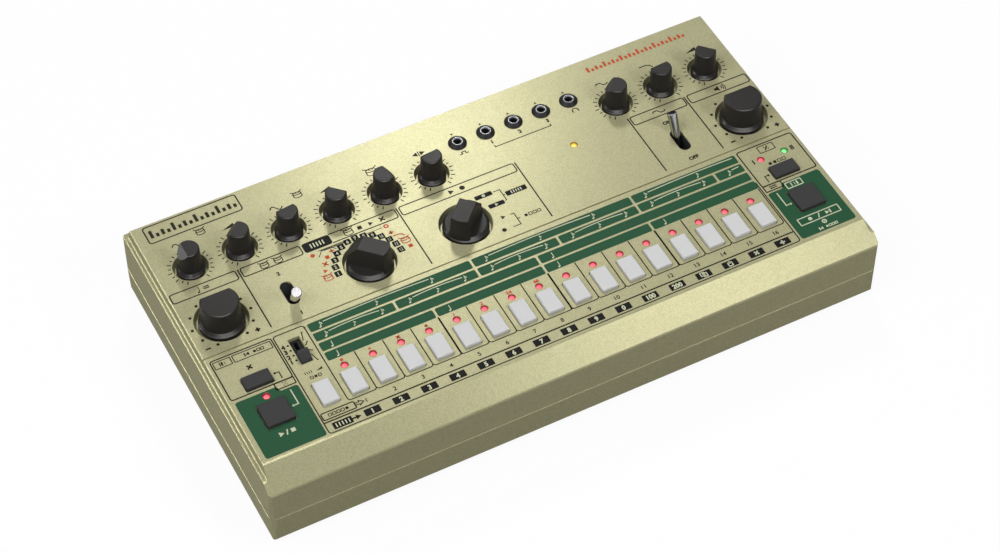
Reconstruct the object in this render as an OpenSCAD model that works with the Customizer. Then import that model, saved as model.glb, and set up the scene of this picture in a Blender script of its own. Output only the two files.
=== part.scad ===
// Desktop drum machine: a slab case in two shells, a raised control panel with
// knobs, selectors, toggles, step buttons and jacks, and the boards inside.
// The upper shell, the control panel and the socket panel meet at flat faces.
// X runs across the case, Y from the front to the back, Z up. The origin is
// under the middle of the case, on the surface that the feet stand on.

/* [Case] */
// Width of the case at the parting line
case_w = 305; // [300:1:330]
// Depth of the case at the parting line
case_d = 162.2; // [160:0.1:180]
// Height from the underside of the lower shell to the panel
case_h = 40.6; // [38:0.1:50]
// Height of the lower shell
lower_h = 15.3; // [13:0.1:17]
// Radius of the four upright corners
corner_r = 3.6; // [3:0.1:5]
// Thickness of the side walls
wall_t = 2.5; // [1.8:0.1:3]
// Thickness of the panel and of the sloping front
plate_t = 2.5; // [2:0.1:3]
// Thickness of the floor of the lower shell
floor_t = 2.5; // [2:0.1:3]
// How far the side walls lean in between the parting line and the ledge
side_draft = 0.7; // [0.3:0.1:1]
// How far the front wall leans in below the sloping front
front_draft = 0.4; // [0.3:0.1:0.6]
// How far the rear wall leans in between the parting line and the ledge
rear_draft = 0.4; // [0.3:0.1:1]
// How far the lower shell's walls lean in towards the floor
base_draft = 0.6; // [0:0.1:1]
// How far the lower shell stands out past the upper shell at the parting line
parting_step = 0.3; // [0.1:0.1:0.4]
// Size of the broken edges of the shells
edge = 0.4; // [0.2:0.1:0.6]

/* [Panel] */
// How far the ledge around the panel lies below it
ledge_drop = 4.55; // [3.5:0.05:5]
// Width of the ledge at each side
side_ledge = 2.1; // [1.5:0.1:3]
// Width of the ledge at the rear
rear_ledge = 2.7; // [1.5:0.1:3]
// How far the panel block widens down to the ledge
panel_draft = 0.5; // [0.2:0.1:1]
// Size of the slant at the foot of the panel block
foot_slant = 0.5; // [0.3:0.1:0.8]
// Length of the sloping front, seen from above
apron_run = 11.3; // [9:0.1:12]
// How far the sloping front drops
apron_drop = 9.1; // [8:0.1:11]
// Width of the groove across the panel
groove_w = 0.7; // [0.4:0.1:1.2]
// Depth of the groove across the panel
groove_d = 0.8; // [0.4:0.1:1]
// Distance from the front wall to the groove
groove_y = 74.8; // [72:0.1:76]

/* [Control places] */
// Distance from the case's side to the outermost knobs and buttons
side_inset = 19.7; // [19:0.1:22]
// Distance from the rear wall to the row of small knobs
small_knob_y = 35.85; // [34:0.05:38]
// Distance from the rear wall to the row of large knobs
large_knob_y = 70.35; // [68:0.05:71]
// Distance from an outermost knob to the toggle beside it
toggle_inset = 33; // [30:0.1:34]
// Distance from the row of jacks to the small knob at either end of it
jack_inset = 19.1; // [18.5:0.1:20]
// Spacing of the jacks
jack_pitch = 14.64; // [13.5:0.01:14.8]
// Distance from the rear wall to the row of jacks
jack_y = 24.3; // [24:0.1:25]
// Distance from an outermost knob to the slide switch and the function button
slide_inset = 23.5; // [22:0.05:24]
// Distance from the front wall to the middle of the slide switch
slide_y = 60.2; // [59:0.1:61]
// Distance from the last step button to the square black button beside it
last_inset = 23.6; // [22:0.05:24]
// Number of step buttons
step_count = 16; // [8:1:16]
// Distance from the front wall to the row of step buttons
step_y = 33.75; // [33:0.05:35]
// Distance from the front wall to the row of red lamps
lamp_y = 44.05; // [43.5:0.05:45]
// Distance from the front wall to the two small black buttons
short_button_y = 53.5; // [53:0.1:55]
// Distance from the front wall to the two lamps on the right
group_lamp_y = 63.8; // [62:0.1:66]
// Distance between the two lamps on the right
group_lamp_gap = 12.6; // [10:0.1:14]
// Distance from the first small knob on the right to the amber lamp
amber_inset = 30.1; // [28:0.1:34]
// Distance from the rear wall to the amber lamp
amber_y = 50.15; // [48:0.05:54]

/* [Knobs] */
// Radius of a small knob's skirt
small_skirt_r = 6.55; // [6:0.05:6.8]
// Radius of a small knob's grip at its foot
small_grip_r = 5.35; // [5.1:0.05:5.5]
// Radius of a small knob's grip at its top
small_top_r = 5; // [4.6:0.05:5.1]
// Height of a small knob above the panel
small_knob_h = 12.6; // [11:0.1:15]
// Distance from a small knob's axis to its pointer facet, at the top
small_facet = 2; // [1.5:0.1:3]
// Radius of a large knob's skirt
large_skirt_r = 10.45; // [10:0.05:10.8]
// Radius of a large knob's grip at its foot
large_grip_r = 9.2; // [9:0.05:9.4]
// Radius of a large knob's grip at its top
large_top_r = 8.85; // [8.5:0.05:9]
// Height of a large knob above the panel
large_knob_h = 12.75; // [11:0.05:15]
// Distance from a large knob's axis to its pointer facet, at the top
large_facet = 5; // [4:0.1:6]
// How far a pointer facet leans out for each millimetre down
facet_slope = 0.75; // [0.6:0.05:0.9]
// Radius of a selector's skirt
selector_skirt_r = 10.8; // [10.4:0.05:11]
// Height of a selector's bar above the panel
selector_h = 12; // [10:0.1:14]
// Radius of the round ends of a selector's bar, at its top
bar_r = 9.4; // [9:0.05:9.8]
// Radius of the round ends of a selector's bar, at its foot
bar_foot_r = 10.35; // [10:0.05:10.5]
// Width of a selector's bar at its top
bar_top_w = 8.4; // [7:0.1:9]
// Width of a selector's bar at its foot
bar_foot_w = 10; // [9.2:0.1:11]
// Distance from a selector's axis to where its nose starts to slope
nose_start = 3.9; // [3:0.1:5]
// Height of the nose's tip above the panel
nose_h = 5.3; // [4:0.1:7]
// Pointer angles of the small knobs at rest, clockwise from the back
small_angles = [-90, -45, -6, 45, 83, -5, -53, -4, 46]; // [-150:1:150]
// Pointer angle of the instrument selector at rest, clockwise from the back
instrument_angle = -45; // [-90:15:90]
// Pointer angle of the mode selector at rest, clockwise from the back
mode_angle = 45; // [45:30:135]

/* [Wells and shafts] */
// Depth of the round wells that the knobs sit in
well_depth = 3.2; // [2.8:0.1:3.4]
// Thickness of a well's floor
well_floor = 1.8; // [1.4:0.1:2]
// Radius of a small knob's well at the panel
small_well_r = 8.3; // [8:0.1:9]
// Radius of the wells of the large knobs and selectors at the panel
large_well_r = 12.5; // [12.2:0.1:13]
// How far a well narrows down to its floor
well_taper = 0.9; // [0.5:0.1:1]
// Gap between a knob's underside and its well's floor
well_gap = 0.6; // [0.4:0.1:0.8]
// Radius of a control shaft
shaft_r = 3; // [2.8:0.05:3.1]
// Height above the panel at which a control shaft ends
shaft_top = 6.5; // [5:0.1:7]
// Radius of a control's threaded bush
bush_r = 3.7; // [3.6:0.05:4]
// Radial clearance of a turning shaft in its bore
running_gap = 0.05; // [0.02:0.01:0.09]
// Clearance around pieces that pass through the panel
pass_gap = 0.2; // [0.15:0.05:0.25]

/* [Toggles] */
// Width of a toggle's slot
toggle_slot_w = 6; // [5.8:0.05:6.5]
// Length of a toggle's slot
toggle_slot_l = 14; // [13.8:0.1:15]
// Depth of a toggle's pivot below the panel
toggle_pivot = 8.2; // [7.6:0.1:8.4]
// Length of a toggle's lever from its pivot
lever_l = 20.2; // [18:0.1:22]
// Radius of a lever at its tip
lever_tip_r = 2.4; // [2.2:0.05:2.6]
// Radius of a lever at its pivot
lever_foot_r = 1.8; // [1.5:0.05:1.9]
// Lean of a lever from upright, to either side
lever_lean = 26; // [22:0.5:26]
// Radius of a lever's pivot pin
pivot_pin_r = 1; // [0.8:0.05:1.1]

/* [Slide switch] */
// Width of the slide switch's slot
slide_slot_w = 5.6; // [5.4:0.1:6]
// Length of the slide switch's slot
slide_slot_l = 15.3; // [15.1:0.1:16]
// Distance that the slider travels over its four positions
slide_travel = 9; // [8:0.1:9]
// Width of the slider's cap
slider_w = 4.9; // [4.4:0.1:5]
// Length of the slider's cap
slider_l = 5.8; // [5:0.1:5.8]
// Height of the slider's ridge above the panel
slider_h = 3.6; // [2.8:0.1:4]
// Depth of the slide switch's face below the panel
slide_face = 1.8; // [1.6:0.1:2.2]

/* [Buttons and lamps] */
// Width of a step button
step_w = 7.9; // [7:0.05:8.2]
// Length of the step buttons and of the square black buttons
button_l = 12.95; // [12:0.05:13.2]
// Length of the two small black buttons
short_l = 7.2; // [6.6:0.05:7.6]
// Height of the buttons above the panel
button_h = 1.7; // [1.2:0.1:2.5]
// Radius of the buttons' top edges
button_edge_r = 0.6; // [0.3:0.1:0.8]
// Gap between a button and its hole
button_gap = 0.3; // [0.3:0.05:0.35]
// How far a button's flange reaches past the cap
flange_reach = 0.8; // [0.6:0.1:0.9]
// Thickness of a button's flange
flange_t = 1; // [0.8:0.1:1.2]
// How far a button travels
button_travel = 0.5; // [0.3:0.1:0.5]
// Radius of a button's stem
stem_r = 1.6; // [1.4:0.1:1.7]
// Radius of a lamp's lens
lamp_r = 1.65; // [1.5:0.05:1.8]
// Height of a lamp's dome above the panel
lamp_h = 0.7; // [0.4:0.1:1.2]

/* [Jacks] */
// Radius of a jack's bore
jack_bore_r = 1.8; // [1.75:0.05:1.9]
// Radius of a jack's threaded bush
jack_bush_r = 2.4; // [2.3:0.05:2.6]
// Radius of a jack's nut
jack_nut_r = 4.4; // [4:0.1:4.8]
// Radius of the flat top of a jack's nut
jack_nut_top_r = 2.9; // [2.8:0.1:3.4]
// Height of a jack's nut
jack_nut_h = 1.6; // [1.4:0.1:1.8]
// Radius of the output socket's bore
output_bore_r = 3.2; // [3.1:0.05:3.3]
// Depth of the output socket's bore
output_bore_l = 22; // [20:0.5:23]

/* [Boards] */
// Distance from the panel down to the main board
board_gap = 12; // [12:0.1:12.4]
// Thickness of the boards
board_t = 1.6; // [1.2:0.1:1.8]
// Gap between the main board and the corner posts
board_side_gap = 1.6; // [1:0.1:2]
// Distance from the front wall to the main board
board_front = 21; // [20:0.5:22]
// Distance from the rear wall to the main board
board_rear = 18.6; // [18.2:0.1:18.8]
// Height of the rear board's top above the parting line
rear_board_lift = 0.9; // [0.8:0.1:1]
// Depth of the rear board
rear_board_d = 17; // [16.5:0.1:17.2]

/* [Feet and screws] */
// Height of the feet below the lower shell
foot_h = 2.8; // [2:0.1:4]
// Radius of the feet
foot_r = 7; // [6:0.1:7.2]
// Depth of the feet's seats in the lower shell
foot_seat = 0.5; // [0.3:0.1:0.8]
// Distance from the case's side to the middle of a foot
foot_inset = 18.5; // [18:0.1:20]
// Distance from the front and rear walls to the middle of a foot
foot_inset_y = 17; // [17:0.1:20]
// Radius of a case screw's shank
screw_r = 1.45; // [1.3:0.05:1.5]
// Radius of a screw head
screw_head_r = 2.7; // [2.5:0.1:2.8]
// Height of a screw head
screw_head_h = 2.2; // [1.8:0.1:2.4]
// Radius of the upper shell's screw posts
post_r = 3.4; // [3.2:0.1:3.5]
// Radius of the lower shell's screw bosses
boss_r = 4.4; // [4.2:0.1:4.5]
// Distance from the case's side to the corner screws
post_inset = 8.5; // [8.4:0.1:8.7]
// Distance from the front and rear walls to the screws
post_inset_y = 10.8; // [10.6:0.1:11]
// Distance from the USB socket to the inner screw beside it
inner_post_gap = 14; // [13:0.1:15]

/* [Hidden] */
$fn = 64;
eps = 0.01;

half_w = case_w/2;
half_d = case_d/2;
z_part = foot_h + lower_h;
z_panel = foot_h + case_h;
z_ledge = z_panel - ledge_drop;
z_apron = z_panel - apron_drop;
z_board = z_panel - board_gap;
z_well = z_panel - well_depth;
z_under_well = z_well - well_floor;
z_under_plate = z_panel - plate_t;
z_rear_board = z_part + rear_board_lift;

panel_half_w = half_w - side_draft - side_ledge - panel_draft;
panel_front = -half_d + front_draft + apron_run;
panel_rear = half_d - rear_draft - rear_ledge - panel_draft;
shell_gap = 0.35;

// Places of the controls. The small knobs and the jacks share the width between the
// outermost knobs, and the step buttons fill the width between the square black ones.
side_x = half_w - side_inset;
small_row = half_d - small_knob_y;
large_row = half_d - large_knob_y;
jack_row = half_d - jack_y;
step_row = -half_d + step_y;
lamp_row = -half_d + lamp_y;
short_row = -half_d + short_button_y;
slide_row = -half_d + slide_y;
left_knobs = 6;
right_knobs = 3;
jack_count = 5;
knob_pitch = (2*(side_x - jack_inset) - (jack_count - 1)*jack_pitch)/(left_knobs + right_knobs - 2);
step_pitch = (2*side_x - slide_inset - last_inset)/step_count;
small_knob_x = [
    for (i = [0:left_knobs - 1]) -side_x + knob_pitch*i,
    for (i = [right_knobs - 1:-1:0]) side_x - knob_pitch*i
];
knob_count = left_knobs + right_knobs;
instrument_x = small_knob_x[3];
mode_x = small_knob_x[5];
toggle_x = side_x - toggle_inset;
slide_x = -side_x + slide_inset;
function step_x(i) = slide_x + step_pitch*i;
function jack_x(i) = mode_x + jack_inset + jack_pitch*i;
amber_x = small_knob_x[left_knobs] - amber_inset;

// Lamps
red_lamps = concat(
    [for (i = [1:step_count]) [step_x(i), lamp_row]],
    [[-side_x, lamp_row], [side_x - group_lamp_gap/2, -half_d + group_lamp_y]]
);
green_lamps = [[side_x + group_lamp_gap/2, -half_d + group_lamp_y]];
amber_lamps = [[amber_x, half_d - amber_y]];
lamps = concat(red_lamps, green_lamps, amber_lamps);

// Buttons: middle, width and length of each cap
function step_cap(i) = [[step_x(i), step_row], step_w, button_l];
function_cap = step_cap(0);
clear_cap = [[-side_x, short_row], button_l, short_l];
group_cap = [[side_x, short_row], button_l, short_l];
start_cap = [[-side_x, step_row], button_l, button_l];
tap_cap = [[side_x, step_row], button_l, button_l];
caps = concat(
    [for (i = [0:step_count]) step_cap(i)],
    [clear_cap, group_cap, start_cap, tap_cap]
);

// Screws, standoffs and feet
post_y = half_d - post_inset_y;
usb_inset = 66.5;
inner_post_x = half_w - usb_inset - inner_post_gap;
posts = [
    for (x = [-1, 1], y = [-1, 1]) [x*(half_w - post_inset), y*post_y],
    for (x = [-1, 1], y = [-1, 1]) [x*inner_post_x, y*post_y]
];
standoff_r = 2.6;
standoff_side = 13.7;
standoff_inset = 64.5;
standoff_mid = 33;
rear_standoff_gap = 17.3;
front_standoff_gap = 10;
standoffs = [
    for (x = [-side_x + standoff_side, -standoff_mid, standoff_mid, side_x - standoff_side])
        [x, large_row + rear_standoff_gap],
    for (x = [standoff_inset - half_w, -standoff_mid, standoff_mid, half_w - standoff_inset])
        [x, lamp_row + front_standoff_gap]
];
feet = [
    for (x = [-1, 1], y = [-1, 1])
        [x*(half_w - foot_inset), y*(half_d - foot_inset_y)]
];
pilot_r = screw_r + running_gap;
screw_pass_r = screw_r + pass_gap;
screw_seat_r = screw_head_r + 0.4;
screw_seat_h = 6;
screw_reach = 8;
board_screw_reach = 6;

// Rear sockets: places across the case, and the room for them under the ledge
rear_in = half_d - wall_t;
power_inset = 28.5;
inlet_inset = 48.5;
midi_inset = 102.5;
midi_pitch = 26;
output_inset = 32.5;
power_x = power_inset - half_w;
inlet_x = inlet_inset - half_w;
usb_x = usb_inset - half_w;
midi_x = [midi_inset - half_w, midi_inset + midi_pitch - half_w];
output_x = half_w - output_inset;
z_under_ledge = z_ledge - plate_t;
socket_room = z_under_ledge - shell_gap - z_rear_board;
midi_lift = socket_room/2;
midi_rim = 0.9;
midi_r = midi_lift - midi_rim;
midi_w = 20;
midi_depth = 15;
usb_w = 12;
usb_h = 11;
usb_lift = usb_h/2;
usb_depth = 15.5;
inlet_lift = 6;
inlet_r = 4;
inlet_depth = 14;
inlet_w = 9;
inlet_h = 11;
inlet_bore_r = 2.9;
inlet_bore_l = 9.5;
inlet_pin_r = 1;
power_lift = 5;
power_w = 12;
power_travel = 3;
power_lever_w = 3.4;
output_headroom = 1;
output_lift = (socket_room - output_headroom)/2;
output_r = 5.9;
output_w = 16;
output_depth = 24;
socket_recess = 0.6;
rear_board_left = 13.5;
rear_board_right = 22.5;
rear_board_w = case_w - rear_board_left - rear_board_right;
rear_board_x = (rear_board_left - rear_board_right)/2;
rear_boss_r = 2.8;
rear_boss_inset = 15.1;
rear_boss_gap = 19;
ribbon_x = 32;
ribbon_w = 24;
rear_boss_x = [
    (power_x + inlet_x)/2, midi_x[1] + rear_boss_gap, ribbon_x + ribbon_w + 2,
    output_x - rear_boss_gap
];
rear_bosses = [for (x = rear_boss_x) [x, half_d - rear_boss_inset]];

// Inside the controls
control_body = [10, 11];
jack_body = [9, 10];
jack_mouth_r = 2.2;
jack_mouth_h = 0.6;
control_body_h = z_under_well - z_board - 0.2;
selector_body_r = 11.5;
cap_bottom = plate_t + 0.3;
tact_w = 6;
tact_h = 3.6;
tact_bore_l = 1.9;
stem_gap = 0.3;
slider_stem_w = 1.4;
slider_stem_l = 3;
slider_stem_h = 4;
toggle_body = [7.4, 13.4];
toggle_pocket_w = 2*lever_foot_r + 1.2;
toggle_lining = 0.5;
knob_bottom = -well_depth + well_gap;
// Skirts: a cone whose upper end lies ring_h above the panel, and its broken edge
skirt_drop = 1.3;
skirt_edge = 0.35;
small_ring_h = 0.6;
large_ring_h = 1.2;
pad_h = 1;
small_round = 0.6;
large_round = 0.8;
flat_depth = 0.6;

// ---- Shared shapes ----

// Rectangle with round corners, about the origin
module rounded_rect(w, d, r) {
    square([w - 2*r, d], center = true);
    square([w, d - 2*r], center = true);
    for (x = [-1, 1], y = [-1, 1])
        translate([x*(w/2 - r), y*(d/2 - r)]) circle(r);
}

// Slot with round ends, running along Y
module slot(w, l) {
    square([w, l - w], center = true);
    for (y = [-1, 1]) translate([0, y*(l - w)/2]) circle(w/2);
}

// Extrudes a drawing whose axes are Y and Z along X
module along_x(l) {
    rotate([90, 0, 90]) linear_extrude(l, center = true) children();
}

// Extrudes a drawing whose axes are X and Z along Y
module along_y(l) {
    rotate([90, 0, 0]) linear_extrude(l, center = true) children();
}

// Upright box about the point [x, y], from z0 to z1
module block(x, y, w, d, z0, z1) {
    translate([x - w/2, y - d/2, z0]) cube([w, d, z1 - z0]);
}

// Upright rod from z0 to z1
module rod(p, r, z0, z1) {
    translate([p[0], p[1], z0]) cylinder(r = r, h = z1 - z0);
}

// Rod that runs back from y0 to y1
module rear_rod(x, z, r, y0, y1) {
    translate([x, y0, z]) rotate([-90, 0, 0]) cylinder(r = r, h = y1 - y0);
}

// Cross-section that is rounded along its two top edges
module arched(w, z0, z1, r) {
    translate([-w/2, z0]) square([w, z1 - r - z0]);
    translate([-w/2 + r, z0]) square([w - 2*r, z1 - z0]);
    for (x = [-1, 1]) translate([x*(w/2 - r), z1 - r]) circle(r);
}

// Repeats its children at each point of a list
module at(points) {
    for (p = points) translate([p[0], p[1], 0]) children();
}

// ---- Shells ----

function apron_y(z) = panel_front - (z_panel - z)*apron_run/apron_drop;
inner_shift = plate_t*sqrt(apron_run*apron_run + apron_drop*apron_drop)/apron_drop;
function inner_apron_y(z) = apron_y(z) + inner_shift;
z_inner_front = z_panel - (panel_front + inner_shift + half_d - wall_t)*apron_drop/apron_run;

// Body of the upper shell up to the ledge
module upper_body() {
    w = half_w - side_draft;
    low_w = half_w - parting_step;
    low_d = half_d - parting_step;
    rear = half_d - rear_draft;
    front = -half_d + front_draft;
    intersection() {
        along_y(2*case_d) polygon([
            [-low_w, z_part], [low_w, z_part],
            [w, z_ledge - edge], [w - edge, z_ledge],
            [-w + edge, z_ledge], [-w, z_ledge - edge]
        ]);
        along_x(2*case_w) polygon([
            [-low_d, z_part], [low_d, z_part],
            [rear, z_ledge - edge], [rear - edge, z_ledge],
            [apron_y(z_ledge) + edge, z_ledge], [apron_y(z_ledge - edge), z_ledge - edge],
            [apron_y(z_apron + edge), z_apron + edge], [front, z_apron - edge]
        ]);
        translate([0, 0, z_part - 1])
            linear_extrude(case_h) rounded_rect(case_w, case_d, corner_r);
    }
}

// Raised block that carries the panel
module panel_block() {
    foot_z = z_ledge - 1;
    w = panel_half_w;
    foot = w + panel_draft;
    intersection() {
        along_y(2*case_d) polygon([
            [-foot - foot_slant, foot_z], [foot + foot_slant, foot_z],
            [foot + foot_slant, z_ledge], [foot, z_ledge + foot_slant],
            [w, z_panel - edge], [w - edge, z_panel],
            [-w + edge, z_panel], [-w, z_panel - edge],
            [-foot, z_ledge + foot_slant], [-foot - foot_slant, z_ledge]
        ]);
        along_x(2*case_w) polygon([
            [apron_y(foot_z), foot_z], [panel_rear + panel_draft, foot_z],
            [panel_rear + panel_draft, z_ledge], [panel_rear, z_panel - edge],
            [panel_rear - edge, z_panel], [panel_front + edge, z_panel],
            [apron_y(z_panel - edge), z_panel - edge]
        ]);
    }
}

// Hollow of the upper shell, under the panel and behind the walls
module upper_hollow() {
    low = z_part - 1;
    w = half_w - wall_t;
    top = z_under_ledge;
    intersection() {
        along_x(2*w) polygon([
            [-half_d + wall_t, low], [rear_in, low], [rear_in, top],
            [inner_apron_y(top), top], [-half_d + wall_t, z_inner_front]
        ]);
        translate([0, 0, low])
            linear_extrude(case_h) rounded_rect(2*w, 2*rear_in, corner_r - wall_t);
    }
    along_x(2*panel_in_w) polygon([
        [inner_apron_y(top - 1), top - 1], [panel_rear - wall_t, top - 1],
        [panel_rear - wall_t, z_under_plate], [inner_apron_y(z_under_plate), z_under_plate]
    ]);
}

// Thick places under the panel: well pads, screw posts and board standoffs
module upper_pads() {
    for (x = small_knob_x) rod([x, small_row], small_well_r + 1.2, z_under_well, z_panel);
    for (x = [-side_x, instrument_x, mode_x, side_x])
        rod([x, large_row], large_well_r + 1.2, z_under_well, z_panel);
    for (p = posts) rod(p, post_r, z_part, z_panel);
    for (p = standoffs) rod(p, standoff_r, z_board, z_panel);
}

// Knob well with its bush hole
module well(p, r) {
    translate([p[0], p[1], z_well])
        cylinder(r1 = r - well_taper, r2 = r, h = well_depth);
    rod(p, r, z_panel - eps, z_panel + 1);
    rod(p, bush_r + pass_gap, z_under_well - 1, z_well + 1);
}

module panel_holes() {
    for (x = small_knob_x) well([x, small_row], small_well_r);
    for (x = [-side_x, instrument_x, mode_x, side_x]) well([x, large_row], large_well_r);
    for (c = caps)
        translate([c[0][0], c[0][1], z_under_plate - 1]) linear_extrude(plate_t + 2)
            rounded_rect(c[1] + 2*button_gap, c[2] + 2*button_gap, button_edge_r);
    for (p = lamps) rod(p, lamp_r + pass_gap, z_under_well - 1, z_panel + 1);
    for (i = [0:jack_count - 1])
        rod([jack_x(i), jack_row], jack_bush_r + pass_gap, z_under_plate - 1, z_panel + 1);
    for (x = [-1, 1])
        translate([x*toggle_x, large_row, z_under_plate - 1])
            linear_extrude(plate_t + 2) slot(toggle_slot_w, toggle_slot_l);
    block(slide_x, slide_row, slide_slot_w, slide_slot_l, z_under_plate - 1, z_panel + 1);
    block(0, -half_d + groove_y, case_w, groove_w, z_panel - groove_d, z_panel + 1);
}

module rear_holes() {
    y0 = rear_in - 1;
    y1 = half_d + 1;
    for (x = midi_x) rear_rod(x, z_rear_board + midi_lift, midi_r + pass_gap, y0, y1);
    rear_rod(inlet_x, z_rear_board + inlet_lift, inlet_r + pass_gap, y0, y1);
    rear_rod(output_x, z_rear_board + output_lift, output_r + pass_gap, y0, y1);
    translate([usb_x, (y0 + y1)/2, z_rear_board + usb_lift])
        cube([usb_w + 2*pass_gap, y1 - y0, usb_h + 2*pass_gap], center = true);
    translate([power_x, (y0 + y1)/2, z_rear_board + power_lift])
        cube([power_travel + power_lever_w + 0.8, y1 - y0, 4.4], center = true);
}

// The whole upper case, before it is parted into the shell and its two panels
module upper_case() {
    difference() {
        union() {
            upper_body();
            panel_block();
        }
        difference() {
            upper_hollow();
            upper_pads();
        }
        panel_holes();
        rear_holes();
        for (p = posts) rod(p, pilot_r, z_part - 1, z_part + screw_reach + 1);
        for (p = standoffs) rod(p, pilot_r, z_board - 1, z_board + board_screw_reach);
    }
}

panel_in_w = panel_half_w - wall_t;
panel_in_d = post_y - post_r - 0.9;

// Space of the control panel: the plate between the rows of screw posts
module control_space() {
    block(0, 0, 2*panel_in_w, 2*panel_in_d, z_part - 2, z_panel + 1);
}

// Space of the socket panel: the rear wall between the corner posts, under the ledge
module socket_space() {
    w = half_w - post_inset;
    translate([-w, rear_in, z_part - 2]) cube([2*w, wall_t + 1, z_under_ledge - z_part + 2]);
}

module upper_shell() {
    color([0.78, 0.75, 0.60]) difference() {
        upper_case();
        control_space();
        socket_space();
    }
}

module control_panel() {
    color([0.78, 0.75, 0.60]) intersection() {
        upper_case();
        control_space();
    }
}

module socket_panel() {
    color([0.78, 0.75, 0.60]) intersection() {
        upper_case();
        socket_space();
    }
}

// Outside of the lower shell
module lower_body() {
    low_w = half_w - base_draft;
    low_d = half_d - base_draft;
    intersection() {
        along_y(2*case_d) polygon([
            [-low_w + edge, foot_h], [low_w - edge, foot_h], [low_w, foot_h + edge],
            [half_w, z_part - edge], [half_w - edge, z_part],
            [-half_w + edge, z_part], [-half_w, z_part - edge], [-low_w, foot_h + edge]
        ]);
        along_x(2*case_w) polygon([
            [-low_d + edge, foot_h], [low_d - edge, foot_h], [low_d, foot_h + edge],
            [half_d, z_part - edge], [half_d - edge, z_part],
            [-half_d + edge, z_part], [-half_d, z_part - edge], [-low_d, foot_h + edge]
        ]);
        translate([0, 0, foot_h - 1])
            linear_extrude(case_h) rounded_rect(case_w, case_d, corner_r);
    }
}

lip_t = 1.2;
lip_w = 2*(half_w - wall_t - pass_gap);
lip_d = 2*(rear_in - pass_gap);

// Lip that guides the upper shell onto the lower one, open behind the rear board
module parting_lip() {
    translate([0, 0, z_part - 3]) linear_extrude(4.5) difference() {
        rounded_rect(lip_w, lip_d, corner_r - wall_t);
        square([lip_w - 2*lip_t, lip_d - 2*lip_t], center = true);
        translate([rear_board_x - rear_board_w/2 - 1, 0])
            square([rear_board_w + 2, half_d]);
    }
}

lower_in_w = half_w - wall_t - base_draft;
lower_in_d = half_d - wall_t - base_draft;

// The whole lower case, before it is parted into the tray and its walls
module lower_case() {
    boss_top = z_rear_board - board_t;
    difference() {
        union() {
            difference() {
                lower_body();
                translate([0, 0, foot_h + floor_t])
                    linear_extrude(case_h) rounded_rect(2*lower_in_w, 2*lower_in_d, 1);
            }
            parting_lip();
            for (p = posts) rod(p, boss_r, foot_h + floor_t - 1, z_part);
            for (p = rear_bosses) rod(p, rear_boss_r, foot_h + floor_t - 1, boss_top);
        }
        for (p = posts) {
            rod(p, screw_seat_r, foot_h - 1, foot_h + screw_seat_h);
            rod(p, screw_pass_r, foot_h, z_part + 1);
        }
        for (p = rear_bosses) rod(p, pilot_r, boss_top - board_screw_reach, boss_top + 1);
        for (p = feet) rod(p, foot_r + 0.1, foot_h - 1, foot_h + foot_seat);
    }
}

// Space of the lower walls: above the floor, around everything that stands on it
module lower_wall_space() {
    top = z_part + 3;
    difference() {
        block(0, 0, 2*case_w, 2*case_d, foot_h + floor_t, top);
        block(0, 0, lip_w - 2*lip_t, lip_d - 2*lip_t, foot_h, top + 1);
    }
}

module lower_shell() {
    color([0.70, 0.67, 0.54]) difference() {
        lower_case();
        lower_wall_space();
    }
}

module lower_walls() {
    color([0.70, 0.67, 0.54]) intersection() {
        lower_case();
        lower_wall_space();
    }
}

module rubber_feet() {
    color([0.10, 0.10, 0.10]) at(feet) {
        rod([0, 0], foot_r, edge, foot_h + foot_seat);
        cylinder(r1 = foot_r - edge, r2 = foot_r, h = edge);
    }
}

// One screw: the underside of its head at z, the shank pointing up or down
module screw(p, z, length, up) {
    translate([p[0], p[1], z]) mirror([0, 0, up ? 0 : 1]) difference() {
        union() {
            translate([0, 0, -screw_head_h]) cylinder(r = screw_head_r, h = screw_head_h);
            cylinder(r = screw_r, h = length);
        }
        for (a = [0, 90]) rotate(a)
            translate([0, 0, -screw_head_h]) cube([3, 0.7, 2], center = true);
    }
}

module screws() {
    case_seat = foot_h + screw_seat_h;
    color([0.25, 0.25, 0.26]) {
        for (p = posts) screw(p, case_seat, z_part + screw_reach - case_seat, true);
        for (p = standoffs) screw(p, z_board - board_t, board_t + board_screw_reach - 1, true);
        for (p = rear_bosses) screw(p, z_rear_board, board_t + board_screw_reach - 1, false);
    }
}

// ---- Boards ----

board_half_w = half_w - post_inset - post_r - board_side_gap;

module main_board() {
    front = -half_d + board_front;
    rear = half_d - board_rear;
    notch = 10;
    difference() {
        translate([-board_half_w, front, z_board - board_t])
            cube([2*board_half_w, rear - front, board_t]);
        for (p = standoffs) rod(p, screw_pass_r, z_board - board_t - 1, z_board + 1);
        block(output_x, rear, output_w + 3, 2*notch, z_board - board_t - 1, z_board + 1);
    }
}

module rear_board() {
    y = lower_in_d - 0.3 - rear_board_d/2;
    difference() {
        block(rear_board_x, y, rear_board_w, rear_board_d, z_rear_board - board_t, z_rear_board);
        for (p = rear_bosses)
            rod(p, screw_pass_r, z_rear_board - board_t - 1, z_rear_board + 1);
        for (x = [-1, 1])
            rod([x*inner_post_x, post_y], boss_r + 0.4, z_rear_board - board_t - 1,
                z_rear_board + 1);
    }
}

module circuit_boards() {
    color([0.10, 0.32, 0.18]) {
        main_board();
        rear_board();
    }
}

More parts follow.
